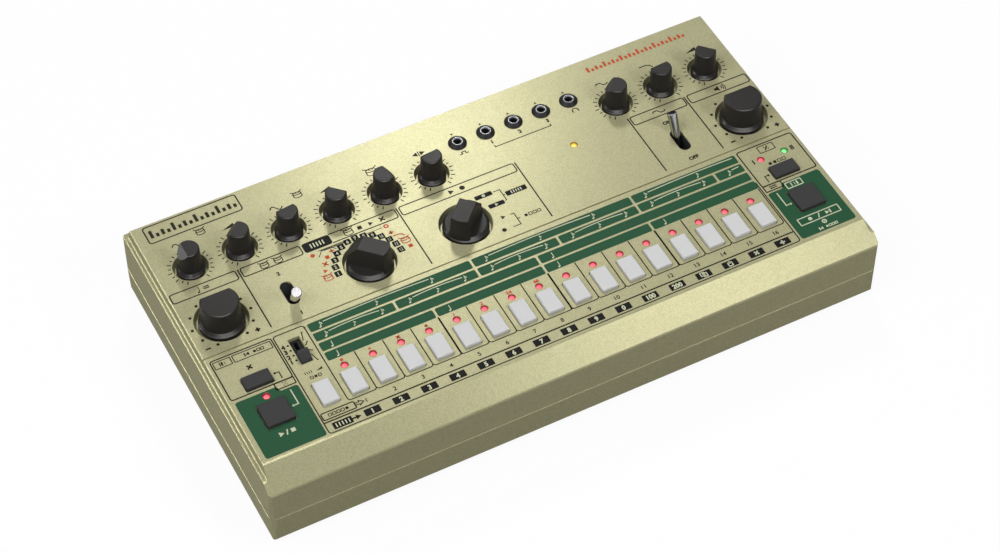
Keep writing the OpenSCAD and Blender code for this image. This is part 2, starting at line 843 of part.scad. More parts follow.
// Flat cable between the boards, with a header at each end
module ribbon_cable() {
    y0 = half_d - board_rear - 6;
    y1 = half_d - 12.6;
    top = z_board - board_t;
    mid = (top + z_rear_board)/2;
    color([0.55, 0.56, 0.58]) {
        block(ribbon_x, y0, ribbon_w + 2, 5, top - 4, top);
        block(ribbon_x, y1, ribbon_w + 2, 5, z_rear_board, z_rear_board + 4);
        translate([ribbon_x, 0, 0]) along_x(ribbon_w) polygon([
            [y0 - 0.5, top - 4], [y0 - 0.5, mid - 0.5], [y1 - 0.5, mid - 0.5],
            [y1 - 0.5, z_rear_board + 4], [y1 + 0.5, z_rear_board + 4],
            [y1 + 0.5, mid + 0.5], [y0 + 0.5, mid + 0.5], [y0 + 0.5, top - 4]
        ]);
    }
}

// ---- Controls under the panel ----

// Bush and bore of a turning control
module control_bush(body_top) {
    difference() {
        union() {
            children();
            rod([0, 0], bush_r, body_top - 1, z_well - 0.3);
        }
        rod([0, 0], shaft_r + running_gap, z_board + 1, z_panel);
    }
}

module potentiometers() {
    top = z_board + control_body_h;
    places = concat([for (x = small_knob_x) [x, small_row]],
                    [[-side_x, large_row], [side_x, large_row]]);
    color([0.20, 0.35, 0.55]) at(places) control_bush(top)
        block(0, 0, control_body[0], control_body[1], z_board, top);
}

module rotary_switches() {
    top = z_board + control_body_h;
    color([0.22, 0.22, 0.24]) at([[instrument_x, large_row], [mode_x, large_row]])
        control_bush(top) rod([0, 0], selector_body_r, z_board, top);
}

module tact_switches() {
    top = z_board + tact_h;
    color([0.15, 0.15, 0.16]) for (c = caps) difference() {
        block(c[0][0], c[0][1], tact_w, tact_w, z_board, top);
        rod(c[0], stem_r + stem_gap, top - tact_bore_l, top + 1);
    }
}

// Wedge in which a lever swings about the origin, pointing up
module lever_sweep(w, h, gap) {
    lever_r = lever_foot_r + (lever_tip_r - lever_foot_r)*h/lever_l;
    spread = h*tan(lever_lean) + (lever_r + gap)/cos(lever_lean);
    foot = lever_foot_r + gap;
    along_x(w) {
        circle(foot);
        polygon([[-foot, 0], [foot, 0], [spread, h], [-spread, h]]);
    }
}

z_pivot = z_panel - toggle_pivot;

// Two switch bodies, each with a neck that lines the panel's slot
module toggle_bodies() {
    top = z_under_plate - pass_gap;
    lining_top = z_panel - toggle_lining;
    at([[-toggle_x, large_row], [toggle_x, large_row]]) difference() {
        union() {
            block(0, 0, toggle_body[0], toggle_body[1], z_board, top);
            translate([0, 0, top - 1]) linear_extrude(lining_top - top + 1)
                slot(toggle_slot_w - 2*running_gap, toggle_slot_l - 2*running_gap);
        }
        translate([0, 0, z_pivot]) {
            lever_sweep(toggle_pocket_w, lining_top - z_pivot + 1, 0.35);
            along_x(toggle_body[0] + 1) circle(pivot_pin_r + running_gap);
        }
    }
}

module slide_body() {
    channel_l = slide_travel + slider_stem_l + 0.6;
    top = z_under_plate - pass_gap;
    face = z_panel - slide_face;
    translate([slide_x, slide_row, 0]) difference() {
        union() {
            block(0, 0, slide_slot_w + 1.6, slide_slot_l + 4, z_board, top);
            block(0, 0, slide_slot_w - 0.3, slide_slot_l - 0.3, top - 1, face);
        }
        block(0, 0, slider_stem_w + 0.6, channel_l, face - slider_stem_h - 0.6, face + 1);
    }
}

// Lamps: a lens with a domed end on a rod that stands on the board
module lamp(p) {
    sphere_r = (lamp_r*lamp_r + lamp_h*lamp_h)/(2*lamp_h);
    translate([p[0], p[1], 0]) {
        rod([0, 0], lamp_r + 0.4, z_board, z_board + 2);
        rod([0, 0], lamp_r, z_board + 2 - eps, z_panel);
        intersection() {
            translate([0, 0, z_panel + lamp_h - sphere_r]) sphere(sphere_r);
            rod([0, 0], lamp_r, z_panel - eps, z_panel + lamp_h + 1);
        }
    }
}

module red_lamps() {
    color([0.90, 0.16, 0.24]) for (p = red_lamps) lamp(p);
}

module green_lamp() {
    color([0.25, 0.75, 0.30]) for (p = green_lamps) lamp(p);
}

module amber_lamp() {
    color([0.95, 0.72, 0.12]) for (p = amber_lamps) lamp(p);
}

// ---- Jacks and rear sockets ----

module jack_sockets() {
    top = z_under_plate - pass_gap;
    color([0.75, 0.75, 0.77]) for (i = [0:jack_count - 1]) translate([jack_x(i), jack_row, 0])
        difference() {
            union() {
                block(0, 0, jack_body[0], jack_body[1], z_board, top);
                rod([0, 0], jack_bush_r, top - 1, z_panel + jack_nut_h);
            }
            rod([0, 0], jack_bore_r, z_board + 0.8, z_panel + jack_nut_h);
            translate([0, 0, z_panel + jack_nut_h - jack_mouth_h])
                cylinder(r1 = jack_bore_r, r2 = jack_mouth_r, h = jack_mouth_h + eps);
        }
}

module jack_nuts() {
    color([0.08, 0.08, 0.09]) for (i = [0:jack_count - 1]) translate([jack_x(i), jack_row, 0])
        difference() {
            union() {
                rod([0, 0], jack_nut_r, z_panel, z_panel + edge);
                translate([0, 0, z_panel + edge])
                    cylinder(r1 = jack_nut_r, r2 = jack_nut_top_r, h = jack_nut_h - edge);
            }
            rod([0, 0], jack_bush_r + running_gap, z_panel - 1, z_panel + jack_nut_h + 1);
        }
}

module midi_sockets() {
    z = z_rear_board + midi_lift;
    body_front = rear_in - 0.3;
    face = half_d - socket_recess;
    insulator_r = midi_r - 1.7;
    color([0.12, 0.12, 0.13]) for (x = midi_x) difference() {
        union() {
            block(x, body_front - midi_depth/2, midi_w, midi_depth, z_rear_board,
                  z_rear_board + 2*midi_lift);
            rear_rod(x, z, midi_r, body_front - 1, face);
        }
        difference() {
            rear_rod(x, z, midi_r - 0.7, face - 6, face + 1);
            rear_rod(x, z, insulator_r, face - 7, face - 0.8);
        }
        for (a = [0:45:180])
            rear_rod(x + 3.6*cos(a), z + 3.6*sin(a), 0.8, face - 8, face + 1);
    }
}

module usb_socket() {
    z = z_rear_board + usb_lift;
    face = half_d - socket_recess;
    color([0.72, 0.73, 0.75]) difference() {
        block(usb_x, face - usb_depth/2, usb_w, usb_depth, z_rear_board + usb_lift - usb_h/2,
              z_rear_board + usb_lift + usb_h/2);
        difference() {
            translate([usb_x, face - 4, z]) cube([8.6, 10, 8], center = true);
            translate([usb_x, face - 5, z]) cube([5.6, 9, 3.2], center = true);
        }
    }
}

module dc_inlet() {
    z = z_rear_board + inlet_lift;
    body_front = rear_in - 0.3;
    face = half_d - socket_recess;
    color([0.11, 0.11, 0.12]) difference() {
        union() {
            block(inlet_x, body_front - inlet_depth/2, inlet_w, inlet_depth, z_rear_board,
                  z_rear_board + inlet_h);
            rear_rod(inlet_x, z, inlet_r, body_front - 1, face);
        }
        difference() {
            rear_rod(inlet_x, z, inlet_bore_r, face - inlet_bore_l, face + 1);
            rear_rod(inlet_x, z, inlet_pin_r, face - inlet_bore_l - 1, face - 1);
        }
    }
}

power_z = z_rear_board + power_lift;
power_body_front = rear_in - 0.4;

module power_body() {
    difference() {
        block(power_x, power_body_front - 4, power_w, 8, z_rear_board, z_rear_board + 9);
        translate([power_x, power_body_front, power_z])
            cube([power_travel + power_lever_w + 0.8, 10, 4.2], center = true);
    }
}

module switch_bodies() {
    color([0.12, 0.12, 0.13]) {
        toggle_bodies();
        slide_body();
        power_body();
    }
}

module output_socket() {
    z = z_rear_board + output_lift;
    body_front = rear_in - 0.3;
    face = half_d - socket_recess;
    color([0.10, 0.10, 0.11]) difference() {
        union() {
            block(output_x, body_front - output_depth/2, output_w, output_depth, z_rear_board,
                  z_rear_board + 2*output_lift);
            rear_rod(output_x, z, output_r, body_front - 1, face);
        }
        rear_rod(output_x, z, output_bore_r, face - output_bore_l, face + 1);
    }
}

// ---- Knobs ----

// Control shaft with a flat that the knob's bore fits
module shaft() {
    difference() {
        rod([0, 0], shaft_r, z_board + 1.2, z_panel + shaft_top);
        translate([-shaft_r, shaft_r - flat_depth, z_panel + knob_bottom - 0.2])
            cube([2*shaft_r, shaft_r, shaft_top - knob_bottom + 1]);
    }
}

module shaft_bore() {
    difference() {
        rod([0, 0], shaft_r + running_gap, z_board, z_panel + shaft_top + 0.2);
        translate([-2*shaft_r, shaft_r + running_gap - flat_depth, z_panel + knob_bottom])
            cube([4*shaft_r, shaft_r, shaft_top - knob_bottom + 1]);
    }
}

// Points of a skirt's outline: upright rim, broken edge and a cone up to radius r at height z
function skirt_outline(skirt_r, r, z) = [
    [0, knob_bottom], [skirt_r, knob_bottom], [skirt_r, z - skirt_drop - skirt_edge],
    [skirt_r - skirt_edge, z - skirt_drop], [r, z]
];

// Turned outline of a knob: skirt and tapered grip with a rounded top edge
module knob_outline(skirt_r, grip_r, top_r, h, ring_h, round) {
    polygon(concat(
        skirt_outline(skirt_r, grip_r, ring_h),
        [for (a = [0:22.5:90]) [top_r + round*(cos(a) - 1), h + round*(sin(a) - 1)]],
        [[0, h]]
    ));
}

// Cuts the leaning pointer facet, which faces the back, from a knob of radius r
module pointer_cut(reach, h, r) {
    lean = atan(facet_slope);
    translate([0, reach, h]) rotate([lean, 0, 0])
        translate([-2*r, 0, -2*r]) cube([4*r, 2*r, 4*r]);
}

module round_knob(p, angle, skirt_r, grip_r, top_r, h, facet, ring_h, round) {
    translate([p[0], p[1], 0]) rotate(-angle) {
        color([0.16, 0.16, 0.16]) difference() {
            translate([0, 0, z_panel]) difference() {
                rotate_extrude() knob_outline(skirt_r, grip_r, top_r, h, ring_h, round);
                pointer_cut(facet, h, grip_r);
            }
            shaft_bore();
        }
        color([0.7, 0.7, 0.72]) shaft();
    }
}

module large_knob(x) {
    round_knob([x, large_row], 0, large_skirt_r, large_grip_r, large_top_r, large_knob_h,
               large_facet, large_ring_h, large_round);
}

module small_knob(i) {
    round_knob([small_knob_x[i - 1], small_row], small_angles[i - 1], small_skirt_r,
               small_grip_r, small_top_r, small_knob_h, small_facet, small_ring_h, small_round);
}

module tempo_knob() {
    large_knob(-side_x);
}

module volume_knob() {
    large_knob(side_x);
}

// Selector: a round skirt with a bar across it whose nose slopes to the pointer
module selector(p, angle) {
    translate([p[0], p[1], 0]) rotate(-angle) {
        color([0.15, 0.15, 0.15]) difference() {
            translate([0, 0, z_panel]) {
                rotate_extrude() polygon(concat(
                    skirt_outline(selector_skirt_r, bar_r, pad_h), [[0, pad_h]]
                ));
                intersection() {
                    cylinder(r1 = bar_foot_r, r2 = bar_r, h = selector_h);
                    along_y(4*bar_r) polygon([
                        [-bar_foot_w/2, 0], [bar_foot_w/2, 0],
                        [bar_top_w/2, selector_h - edge], [bar_top_w/2 - edge, selector_h],
                        [-bar_top_w/2 + edge, selector_h], [-bar_top_w/2, selector_h - edge]
                    ]);
                    along_x(4*bar_r) polygon([
                        [-2*bar_r, 0], [2*bar_r, 0], [2*bar_r, nose_h], [bar_r, nose_h],
                        [nose_start, selector_h], [-2*bar_r, selector_h]
                    ]);
                }
            }
            shaft_bore();
        }
        color([0.7, 0.7, 0.72]) shaft();
    }
}

module instrument_selector() {
    selector([instrument_x, large_row], instrument_angle);
}

module mode_selector() {
    selector([mode_x, large_row], mode_angle);
}

// ---- Toggles and sliders ----

// Lever on its pivot pin; it leans to the back when lean is above 0
module toggle_lever(x, lean) {
    pin_l = toggle_body[0] - 0.6;
    foot_w = toggle_pocket_w - 0.7;
    color([0.80, 0.80, 0.82]) translate([x, large_row, z_pivot]) rotate([-lean, 0, 0]) {
        intersection() {
            union() {
                cylinder(r1 = lever_foot_r, r2 = lever_tip_r, h = lever_l - edge);
                translate([0, 0, lever_l - edge])
                    cylinder(r1 = lever_tip_r, r2 = lever_tip_r - edge, h = edge);
                along_x(foot_w) circle(lever_foot_r);
            }
            translate([-5, -10, -10]) cube([10, 20, 40]);
        }
        along_x(pin_l) circle(pivot_pin_r);
    }
}

module variant_toggle() {
    toggle_lever(-toggle_x, -lever_lean);
}

module drive_toggle() {
    toggle_lever(toggle_x, lever_lean);
}

// Cap with a ridge for the finger, at the front end of its slot
module scale_slider() {
    bottom = z_panel - slide_face + 0.2;
    top = z_panel + slider_h;
    back = slider_l/2;
    color([0.20, 0.20, 0.20]) translate([slide_x, slide_row - slide_travel/2, 0]) {
        intersection() {
            translate([0, 0, bottom]) linear_extrude(slider_h + 10)
                rounded_rect(slider_w, slider_l, 0.6);
            along_x(slider_w + 1) polygon([
                [-back, bottom], [back, bottom], [back, top - 1], [back - 0.7, top],
                [0.2, top], [-back + 0.8, z_panel + 1.6], [-back, z_panel + 0.6]
            ]);
        }
        block(0, 0, slider_stem_w, slider_stem_l, z_panel - slide_face - slider_stem_h,
              bottom + 1);
    }
}

module power_slider() {
    depth = 3.2;
    color([0.18, 0.18, 0.18]) {
        translate([power_x - power_travel/2, half_d - socket_recess - depth/2, power_z])
            cube([power_lever_w, depth, 3.4], center = true);
        translate([power_x - power_travel/2, half_d - socket_recess - depth - 1, power_z])
            cube([power_lever_w, 3, 2.4], center = true);
    }
}

// ---- Buttons ----

// Cap, flange under the panel and stem that reaches into the switch
module button(c) {
    w = c[1];
    l = c[2];
    top = button_h;
    flange_z = -cap_bottom;
    stem_end = z_board + tact_h - tact_bore_l + button_travel + 0.3 - z_panel;
    translate([c[0][0], c[0][1], z_panel]) {
        intersection() {
            translate([0, 0, flange_z - flange_t])
                linear_extrude(20) rounded_rect(w, l, button_edge_r);
            along_y(l + 1) arched(w, flange_z - flange_t, top, button_edge_r);
            along_x(w + 1) arched(l, flange_z - flange_t, top, button_edge_r);
        }
        block(0, 0, w + 2*flange_reach, l + 2*flange_reach, flange_z - flange_t, flange_z);
        rod([0, 0], stem_r, stem_end, flange_z);
    }
}

module step_button(i) {
    color([0.86, 0.86, 0.87]) button(step_cap(i));
}

module function_button() {
    color([0.86, 0.86, 0.87]) button(function_cap);
}

module clear_button() {
    color([0.20, 0.20, 0.20]) button(clear_cap);
}

module start_button() {
    color([0.20, 0.20, 0.20]) button(start_cap);
}

module group_button() {
    color([0.20, 0.20, 0.20]) button(group_cap);
}

module tap_button() {
    color([0.20, 0.20, 0.20]) button(tap_cap);
}

upper_shell();
control_panel();
socket_panel();
lower_shell();
lower_walls();
rubber_feet();
screws();
circuit_boards();
potentiometers();
rotary_switches();
tact_switches();
switch_bodies();
red_lamps();
green_lamp();
amber_lamp();
jack_sockets();
jack_nuts();
midi_sockets();
usb_socket();
dc_inlet();
output_socket();
ribbon_cable();
for (i = [1:knob_count])
    small_knob(i);
tempo_knob();
volume_knob();
instrument_selector();
mode_selector();
variant_toggle();
drive_toggle();
scale_slider();
power_slider();
function_button();
clear_button();
start_button();
group_button();
tap_button();
for (i = [1:step_count])
    step_button(i);
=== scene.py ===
"""Paints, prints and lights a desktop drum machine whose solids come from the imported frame."""

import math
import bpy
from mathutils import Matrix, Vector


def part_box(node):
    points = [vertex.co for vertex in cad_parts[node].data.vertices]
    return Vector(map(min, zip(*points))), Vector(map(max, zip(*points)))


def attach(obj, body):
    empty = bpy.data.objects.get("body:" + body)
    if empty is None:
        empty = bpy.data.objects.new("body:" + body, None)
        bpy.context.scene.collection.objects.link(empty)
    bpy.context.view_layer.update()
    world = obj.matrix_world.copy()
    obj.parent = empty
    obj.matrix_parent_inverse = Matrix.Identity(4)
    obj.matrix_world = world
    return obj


bl_info = {
    "name": "Drum Machine Finishes",
    "version": (1, 0, 0),
    "blender": (4, 5, 0),
    "location": "View3D > Sidebar > Drum Machine",
    "description": "Gives a desktop drum machine its paint, plastics, printed scales and studio",
    "category": "Object",
}

import bmesh
import bpy
from bpy.props import FloatProperty, FloatVectorProperty, PointerProperty
from mathutils import Matrix, Vector

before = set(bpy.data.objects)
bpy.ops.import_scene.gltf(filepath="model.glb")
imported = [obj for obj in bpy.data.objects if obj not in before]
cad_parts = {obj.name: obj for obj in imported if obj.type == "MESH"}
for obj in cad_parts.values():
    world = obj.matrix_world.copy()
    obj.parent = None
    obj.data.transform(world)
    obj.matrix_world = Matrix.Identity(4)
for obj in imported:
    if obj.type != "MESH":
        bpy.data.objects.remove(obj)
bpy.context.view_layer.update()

MM = 0.001
CASE = "case"
STEPS = 16
SHELLS = ["upper_shell", "control_panel", "socket_panel", "lower_shell", "lower_walls"]
SMALL_KNOBS = [f"small_knob_{i}" for i in range(1, 10)]
LARGE_KNOBS = ["tempo_knob", "volume_knob"]
SELECTORS = ["instrument_selector", "mode_selector"]
KNOBS = SMALL_KNOBS + LARGE_KNOBS + SELECTORS
STEP_BUTTONS = [f"step_button_{i}" for i in range(1, STEPS + 1)]
WHITE_BUTTONS = ["function_button"] + STEP_BUTTONS
BLACK_BUTTONS = ["clear_button", "start_button", "group_button", "tap_button"]
SLIDERS = ["scale_slider", "power_slider"]

# Half widths of a lamp and of a jack's nut, in millimetres
LAMP_R, NUT_R = 2.05, 4.4
# Degrees that each toggle lever leans away from upright at rest
TOGGLE_LEAN = 26


def middle(node):
    """Middle of a node in plan, in millimetres."""
    low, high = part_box(node)
    return (low.x + high.x) / 2 / MM, (low.y + high.y) / 2 / MM


# Places of the controls, in millimetres from the middle of the case
PANEL_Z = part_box("jack_nuts")[0].z
STEP_X = middle("function_button")[0]
STEP_PITCH = (middle(f"step_button_{STEPS}")[0] - STEP_X) / STEPS
LARGE_ROW = middle("tempo_knob")[1]
SIDE_X = middle("volume_knob")[0]
INSTRUMENT_X = middle("instrument_selector")[0]
TOGGLE_X = middle("drive_toggle")[0]
SLIDE_X = middle("scale_slider")[0]
LAMP_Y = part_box("red_lamps")[0].y / MM + LAMP_R
JACK_X0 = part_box("jack_nuts")[0].x / MM + NUT_R
JACK_PITCH = (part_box("jack_nuts")[1].x / MM - NUT_R - JACK_X0) / 4


def step(k):
    """Place along the panel of step k, where halves fall between two buttons."""
    return STEP_X + STEP_PITCH * k


def srgb(red, green, blue):
    """Screen colour in 0 to 255 as the linear colour that shaders take."""
    return tuple(
        c / 12.92 if c <= 0.04045 else ((c + 0.055) / 1.055) ** 2.4
        for c in (red / 255, green / 255, blue / 255)
    )


# ---- Settings ----


def colour(name, description, red, green, blue):
    return FloatVectorProperty(
        name=name,
        description=description,
        subtype="COLOR",
        size=3,
        min=0,
        max=1,
        default=srgb(red, green, blue),
    )


def length(name, description, default, low, high):
    return FloatProperty(
        name=name,
        description=description,
        subtype="DISTANCE",
        unit="LENGTH",
        default=default * MM,
        min=low * MM,
        max=high * MM,
        precision=5,
    )


def share(name, description, default, high=1.0):
    return FloatProperty(
        name=name, description=description, default=default, min=0, max=high
    )


def power(name, description, default):
    return FloatProperty(name=name, description=description, unit="POWER", default=default, min=0)


class CasePaintSettings(bpy.types.PropertyGroup):
    """Metallic paint of the two shells"""

    paint: colour("Paint", "Colour of the champagne paint", 188, 184, 147)
    shade: colour("Shade", "Colour of the paint between its flakes", 160, 157, 122)
    flake: length("Flake", "Size of one metal flake", 0.32, 0.05, 2)
    roughness: share("Roughness", "Roughness of the paint", 0.2)
    metal: share("Metal", "How metallic the paint looks", 0.068)
    gloss: share("Gloss", "Strength of the paint's clear gloss", 0.0)
    grain: length("Grain", "Height of the paint's grain", 0.012, 0, 0.2)


class PlasticSettings(bpy.types.PropertyGroup):
    """Moulded plastic of the knobs and buttons"""

    knob: colour("Knob", "Colour of the knobs", 41, 39, 37)
    knob_roughness: share("Knob roughness", "Roughness of the knobs", 0.34)
    button: colour("Button", "Colour of the step buttons", 213, 213, 213)
    black_button: colour("Black button", "Colour of the dark buttons", 57, 57, 57)
    knob_gloss: share("Knob gloss", "Strength of the knobs' gloss", 0.085)
    gloss: share("Gloss", "Strength of the buttons' gloss", 0.07)
    edge: length("Edge", "Radius of the knobs' broken edges", 0.5, 0.05, 0.8)
    grain: length("Grain", "Size of the moulded grain", 0.22, 0.05, 2)


class PrintSettings(bpy.types.PropertyGroup):
    """Inks of the panel"""

    dark: colour("Dark ink", "Colour of lines and numbers", 34, 31, 18)
    black: colour("Black ink", "Colour of the filled boxes", 14, 13, 10)
    green: colour("Green ink", "Colour of the beat bars and side fields", 38, 84, 56)
    pale: colour("Pale ink", "Colour of marks on the black and green inks", 208, 212, 180)
    orange: colour("Orange ink", "Colour of the second set of marks", 198, 78, 42)
    weight: share("Weight", "Width of all lines as a share of their nominal width", 1.8, 3.0)
    lift: length("Lift", "Thickness of the ink", 0.025, 0.01, 0.1)


class LampSettings(bpy.types.PropertyGroup):
    """Lenses of the lamps"""

    red: colour("Red", "Colour of the red lamps", 240, 52, 78)
    green: colour("Green", "Colour of the green lamp", 84, 205, 96)
    amber: colour("Amber", "Colour of the amber lamp", 252, 196, 30)
    glow: share("Glow", "Strength of the light that a lens gives off", 0.75, 5.0)


class StudioSettings(bpy.types.PropertyGroup):
    """Floor and lights"""

    floor: colour("Floor", "Colour of the floor in the light that it throws back", 110, 110, 110)
    shadow: share("Shadow", "Depth of the object's shadow on the floor", 0.06)
    key: power("Key", "Power of the light behind the machine", 6.5)
    side: power("Side", "Power of the soft light over the machine's left", 23.8)
    sheen: power("Sheen", "Power of the light in front of the machine", 5.9)
    window: power("Window", "Power of the soft light that only glossy pieces mirror", 40)
    slope: power("Slope", "Power of the light that the sloping front mirrors", 4.0)
    rim: power("Rim", "Power of the low light that the slanted edges mirror", 6.5)
    glint: power("Glint", "Power of the light that the panel's front edge mirrors", 4.5)
    bench: power("Bench", "Power of the low soft light that only the knobs mirror", 190)
    facet: power("Facet", "Power of the light that the knobs' pointer facets mirror", 8)
    sky: share("Sky", "Strength of the light from all around", 0.1, 3.0)
    focal: FloatProperty(
        name="Lens",
        description="Focal length of the camera",
        subtype="DISTANCE_CAMERA",
        default=97.926,
        min=10,
    )


def settings(group):
    return getattr(bpy.context.scene, group)


# ---- Materials ----


class Maths:
    """A shader socket that takes part in Python expressions, one node for each step."""

    def __init__(self, nodes, socket):
        self.nodes = nodes
        self.socket = socket

    def maths(self, operation, *values):
        return self.nodes.node(
            "ShaderNodeMath", {"operation": operation}, dict(enumerate(values))
        )

    def __add__(self, other):
        return self.maths("ADD", self, other)

    def __radd__(self, other):
        return self.maths("ADD", other, self)

    def __sub__(self, other):
        return self.maths("SUBTRACT", self, other)

    def __rsub__(self, other):
        return self.maths("SUBTRACT", other, self)

    def __mul__(self, other):
        return self.maths("MULTIPLY", self, other)

    def __rmul__(self, other):
        return self.maths("MULTIPLY", other, self)

    def either(self, other):
        """The larger of two values."""
        return self.maths("MAXIMUM", self, other)

    def between(self, low, high):
        """0 below low, 1 above high and a smooth rise from one to the other."""
        return self.nodes.node(
            "ShaderNodeMapRange",
            {"interpolation_type": "SMOOTHSTEP"},
            {"Value": self, "From Min": low, "From Max": high},
        )


class Nodes:
    """The shader nodes of one material or world."""

    def __init__(self, tree):
        self.tree = tree

    def put(self, socket, value):
        if isinstance(value, Maths):
            self.tree.links.new(value.socket, socket)
        elif hasattr(value, "__len__") and len(value) == 3 and socket.type == "RGBA":
            socket.default_value = (*value, 1)
        else:
            socket.default_value = value

    def node(self, kind, choices=None, sockets=None, output=0):
        """Adds one node: its choices are set first, then its sockets are filled or linked."""
        new = self.tree.nodes.new(kind)
        for choice, value in (choices or {}).items():
            setattr(new, choice, value)
        for socket, value in (sockets or {}).items():
            self.put(new.inputs[socket], value)
        return Maths(self, new.outputs[output]) if new.outputs else None

    def shown(self):
        """1 for the rays that show a surface: from the camera, a mirror or a clear lens."""
        camera, mirror, clear = (
            self.node("ShaderNodeLightPath", output=ray)
            for ray in ("Is Camera Ray", "Is Glossy Ray", "Is Transmission Ray")
        )
        return camera.either(mirror).either(clear)


class Finish(Nodes):
    """A material built around one Principled shader."""

    def __init__(self, name, **values):
        self.material = bpy.data.materials.new(name)
        self.material.use_nodes = True
        super().__init__(self.material.node_tree)
        self.shader = self.tree.nodes["Principled BSDF"]
        for socket, value in values.items():
            self.set(socket.replace("_", " ").title().replace("Ior", "IOR"), value)

    def set(self, socket, value):
        self.put(self.shader.inputs[socket], value)

    def place(self):
        """Position in the machine's own frame, in metres."""
        return self.node("ShaderNodeTexCoord", output="Object")

    def noise(self, size, detail=2.0, roughness=0.5):
        """Soft noise whose features are about size metres across."""
        return self.node(
            "ShaderNodeTexNoise",
            {},
            {"Vector": self.place(), "Scale": 1 / size, "Detail": detail, "Roughness": roughness},
        )

    def flakes(self, size):
        """A random value for each cell about size metres across."""
        cells = self.node(
            "ShaderNodeTexVoronoi", {}, {"Vector": self.place(), "Scale": 1 / size}, "Color"
        )
        return self.node("ShaderNodeSeparateColor", {}, {"Color": cells})

    def mix(self, factor, first, second):
        """A colour between two others."""
        return self.node(
            "ShaderNodeMix", {"data_type": "RGBA"}, {0: factor, 6: first, 7: second}, output=2
        )

    def bump(self, height, depth):
        """Raises the surface by height times depth metres."""
        raised = self.node(
            "ShaderNodeBump", {}, {"Strength": 1.0, "Distance": depth, "Height": height}
        )
        self.set("Normal", raised)


def case_paint():
    """Champagne paint with fine metal flakes in it."""
    s = settings("drum_case")
    f = Finish("champagne_paint", metallic=s.metal, specular_ior_level=s.gloss)
    flake = f.flakes(s.flake)
    fine = f.noise(s.flake * 0.6, 3)
    cloud = f.noise(0.004)
    speckle = (flake * 0.5 + fine * 0.5).between(0.15, 0.85)
    f.set("Base Color", f.mix(speckle * 0.8 + cloud * 0.2, s.shade, s.paint))
    f.set("Roughness", s.roughness + (fine - 0.5) * 0.16)
    f.bump(flake * 0.5 + fine, s.grain)
    return f.material


def moulded(name, tone, roughness, grain, depth=0.00001, light=1.25, gloss=0.5):
    """Plastic with a fine grain, slightly lighter on the tops of the grain."""
    f = Finish(name, specular_ior_level=gloss)
    fine = f.noise(grain, 3, 0.6)
    cloud = f.noise(grain * 30)
    lifted = tuple(min(1, c * light) for c in tone)
    f.set("Base Color", f.mix(fine.between(0.3, 0.8) * 0.6 + cloud * 0.4, tone, lifted))
    f.set("Roughness", roughness + (fine - 0.5) * 0.14 + (cloud - 0.5) * 0.08)
    f.bump(fine, depth)
    return f.material


def polished(name, tone, roughness, streaks=0.0002, dark=0.86, lean=0.0):
    """Plated metal with streaks, upright or leaning back by an angle in degrees: faint streaks
    are drawn metal, deep ones are painted reflection bands.
    """
    f = Finish(name, metallic=1.0)
    upright = f.node(
        "ShaderNodeVectorRotate",
        {"rotation_type": "X_AXIS"},
        {"Vector": f.place(), "Angle": math.radians(lean)},
    )
    stretched = f.node(
        "ShaderNodeVectorMath", {"operation": "MULTIPLY"}, {0: upright, 1: (1, 1, 0.06)}
    )
    # Streaks along the metal: drawn metal where they are faint, painted reflection bands where
    # dark is low.
    streak_and_reflection_band = f.node(
        "ShaderNodeTexNoise", {}, {"Vector": stretched, "Scale": 1 / streaks, "Detail": 2.0}
    )
    f.set("Base Color", f.mix(streak_and_reflection_band.between(0.4, 0.6), tuple(c * dark for c in tone), tone))
    f.set("Roughness", roughness + (streak_and_reflection_band - 0.5) * 0.08)
    return f.material


def lens(name, tone, glow):
    """Tinted lens with its light inside: pale in the middle of the dome and deep at its rim, a
    painted shade that darkens its colour and its glow where the dome turns from the view.
    """
    f = Finish(name, roughness=0.25, specular_ior_level=0.2, emission_strength=glow)
    facing = 1 - f.node("ShaderNodeLayerWeight", {}, {"Blend": 0.5}, "Facing")
    # The deep rim is painted shade: colour and glow darken as the dome turns away from the view.
    painted_rim_shade = tuple(c * 0.2 for c in tone)
    pale = tuple(min(1, c + 0.09) for c in tone)
    glow_with_painted_rim_shade = f.mix(facing.between(0.58, 1.0), painted_rim_shade, pale)
    f.set("Base Color", glow_with_painted_rim_shade)
    f.set("Emission Color", glow_with_painted_rim_shade)
    return f.material


def ink(name):
    """Screen-printed ink with small differences in cover, made when it is first used."""
    tone = getattr(settings("drum_print"), name)
    f = Finish(f"{name}_ink", specular_ior_level=0.08)
    cover = f.noise(0.0004, 3)
    f.set("Base Color", f.mix(cover.between(0.25, 0.8), tuple(c * 0.86 for c in tone), tone))
    f.set("Roughness", 0.46 + (cover - 0.5) * 0.2)
    return f.material


def rubber():
    """Matte rubber of the feet."""
    f = Finish("foot_rubber", roughness=0.85)
    fine = f.noise(0.0005, 4)
    f.set("Base Color", f.mix(fine, srgb(20, 20, 20), srgb(38, 38, 37)))
    f.bump(fine, 0.00005)
    return f.material


def circuit_board():
    """Solder mask over copper tracks that run along and across the board."""
    f = Finish("circuit_board", roughness=0.35)
    along, across = (
        f.node(
            "ShaderNodeTexWave",
            {"bands_direction": way},
            {"Vector": f.place(), "Scale": scale, "Distortion": wander},
        )
        for way, scale, wander in (("X", 90.0, 3.0), ("Y", 70.0, 4.0))
    )
    track = (along * across).between(0.55, 0.62)
    f.set("Base Color", f.mix(track, srgb(22, 70, 42), srgb(48, 112, 66)))
    return f.material


# Angles between two faces, in degrees: under FLAT they are one, over SHARP their edge is rounded
FLAT, SHARP = 0.8, 28


def dress(node, material):
    """Gives a solid piece its material."""
    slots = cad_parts[node].data.materials
    slots.clear()
    slots.append(material)


